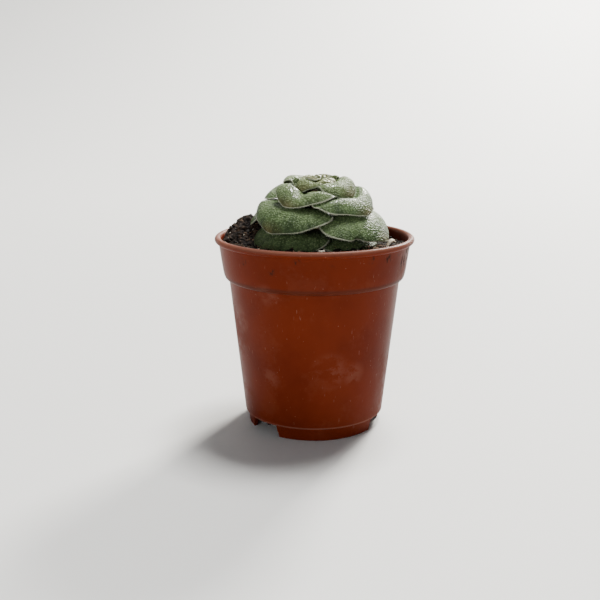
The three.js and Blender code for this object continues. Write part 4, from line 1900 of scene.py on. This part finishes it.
    def scatter_grit(self, dice: random.Random, finishes: Finishes) -> None:
        """Scatters a few pale grains.

        Args:
            dice: The seeded random source.
            finishes: The part's materials.
        """
        shapes = [lump(2, 0.5, seed) for seed in range(20, 25)]
        places: list[Placement] = []
        for _ in range(self.grains):
            size = dice.uniform(*self.grain_size)
            turn, flat = tumble(dice, size, 0.5)
            at = self.spot(dice, 10) + Vector((0, 0, size * 0.5))
            places.append((dice.randrange(5), Matrix.Translation(at) @ turn @ flat))
        for azimuth, radius in self.shards:
            at = compass(azimuth) * radius
            at.z = self.surface(at.x, at.y) + 0.4
            turn = Matrix.Rotation(dice.uniform(-0.5, 0.5), 4, "Y") @ Matrix.Diagonal((*self.shard_size, 1))
            places.append((dice.randrange(5), Matrix.Translation(at) @ turn))
        fit(merge_copies("pale_grit", shapes, places), Slot.SOIL, finishes.grit)
        LOG.info("pale_grit: %d grains", len(places))


@dataclass
class WitheredScrap:
    """The dry scrap of a dead leaf on the soil at the right."""

    corner: Point3 = (19.4, -7.6, -1.6)
    ribs: tuple[tuple[float, float, float, float], ...] = (
        (0, 0, 0, 0.5), (0.9, 0.5, 1.2, 0.9), (1.7, 1.4, 1.4, 0.8), (2.5, 2.6, 0.5, 0.4)
    )
    half_thickness: float = 0.16
    rows: int = 18
    columns: int = 11

    def build(self, finishes: Finishes) -> None:
        """Builds the curled scrap.

        Args:
            finishes: The part's materials.
        """
        across = Vector((-0.5, 0.85, 0))
        corner = Vector((*self.corner[:2], POT_HEIGHT + self.corner[2]))
        sheets: list[Vector] = []
        for sign in (1, -1):
            for i in range(self.rows):
                t = i / (self.rows - 1) * (len(self.ribs) - 1)
                k = min(int(t), len(self.ribs) - 2)
                x, y, z, half = (lerp(a, b, t - k) for a, b in zip(self.ribs[k], self.ribs[k + 1]))
                for j in range(self.columns):
                    v = 2 * j / (self.columns - 1) - 1
                    crumple = 0.22 * noise.noise(Vector((i * 0.35, j * 0.4, 2.2)))
                    lift = Vector((0, 0, sign * self.half_thickness + crumple - 0.3 * v * v))
                    sheets.append(Vector((x, y, z)) + across * (v * half) + lift + corner)
        faces = facing_sheets(self.rows, self.columns)
        scrap = make_piece("dry_leaf_scrap", np.array([p[:] for p in sheets]), faces)
        fit(scrap, Slot.DRY, finishes.dry, "withered_scrap")
        LOG.info("dry_leaf_scrap: %d faces", len(faces))


# The studio


@dataclass(frozen=True)
class PhotoCamera:
    """The camera at the photograph's angle, fitted to the pot's outline."""

    eye: Point3 = (1.4, -233.2, POT_HEIGHT + 39.3)
    pitch: float = 13.96
    yaw: float = 1.32
    focal_pixels: float = 853.0
    frame_pixels: float = 600.0
    sensor: float = 36.0

    def build(self) -> None:
        """Adds the camera and makes it the scene's."""
        camera = bpy.data.cameras.new("camera")
        camera.sensor_width = self.sensor
        camera.lens = self.focal_pixels / self.frame_pixels * self.sensor
        camera.clip_start, camera.clip_end = 0.01, 20
        holder = bpy.data.objects.new("camera", camera)
        holder.location = Vector(self.eye) * MM
        holder.rotation_euler = (math.radians(90 - self.pitch), 0, math.radians(self.yaw))
        bpy.context.scene.collection.objects.link(holder)
        bpy.context.scene.camera = holder


@dataclass(frozen=True)
class SoftBox:
    """One square area light, in metres and watts."""

    name: str
    place: Point3
    side: float
    watts: float
    tint: Colour = (1, 1, 1)


@dataclass
class Studio:
    """A plain pale floor, bent up behind the part, under soft light. Its sizes are metres."""

    half_width: float = 3.0
    front: float = -3.0
    bend_start: float = 0.5
    bend_radius: float = 1.6
    wall_top: float = 3.0
    floor_colour: Colour = (0.62, 0.62, 0.61)
    sky: Colour = (0.93, 0.95, 1.0)
    sky_strength: float = 0.2
    target: Point3 = (0, 0, 0.045)
    lights: tuple[SoftBox, ...] = (
        SoftBox("top_softbox", (0.35, 0.5, 1.9), 0.6, 80.0, (1, 0.99, 0.96)),
        SoftBox("back_softbox", (0.68, 1.45, 1.02), 0.38, 88.0, (1, 0.97, 0.9)),
        SoftBox("front_softbox", (-0.7, -1.8, 0.35), 0.7, 15.0),
    )

    def build(self) -> None:
        """Adds the floor, the sky and the lights."""
        profile = [(self.front, 0.0)]
        for t in np.linspace(0, math.pi / 2, 24):
            y = self.bend_start + self.bend_radius * math.sin(t)
            profile.append((y, self.bend_radius * (1 - math.cos(t))))
        profile.append((self.bend_start + self.bend_radius, self.wall_top))
        corners = [(x / MM, y / MM, z / MM) for y, z in profile for x in (-self.half_width, self.half_width)]
        faces = [(2 * k, 2 * k + 1, 2 * k + 3, 2 * k + 2) for k in range(len(profile) - 1)]
        floor = make_piece("floor", np.array(corners), faces)
        finish = Surface.named("floor_paint", 0.7)
        floor.data.materials.append(finish.paint(Base_Color=self.floor_colour))
        world = bpy.data.worlds.new("sky")
        world.use_nodes = True
        shade = world.node_tree.nodes["Background"]
        shade.inputs["Color"].default_value = (*self.sky, 1)
        shade.inputs["Strength"].default_value = self.sky_strength
        bpy.context.scene.world = world
        for box in self.lights:
            light = bpy.data.lights.new(box.name, "AREA")
            light.size, light.energy, light.color = box.side, box.watts, box.tint
            holder = bpy.data.objects.new(box.name, light)
            holder.location = box.place
            aim = Vector(self.target) - Vector(box.place)
            holder.rotation_euler = aim.to_track_quat("-Z", "Y").to_euler()
            bpy.context.scene.collection.objects.link(holder)


def main() -> None:
    """Builds the camera, the studio and every part of the plant and pot."""
    logging.basicConfig(level=logging.INFO, format="%(message)s")
    PhotoCamera().build()
    Studio().build()
    finishes = Finishes.build()
    pot = NurseryPot()
    rosette = Rosette()
    pot.build(finishes)
    PottingSoil().build(pot, finishes)
    StemAndRoots().build(rosette, finishes)
    rosette.build(finishes)
    WitheredScrap().build(finishes)


if __name__ == "__main__":
    main()
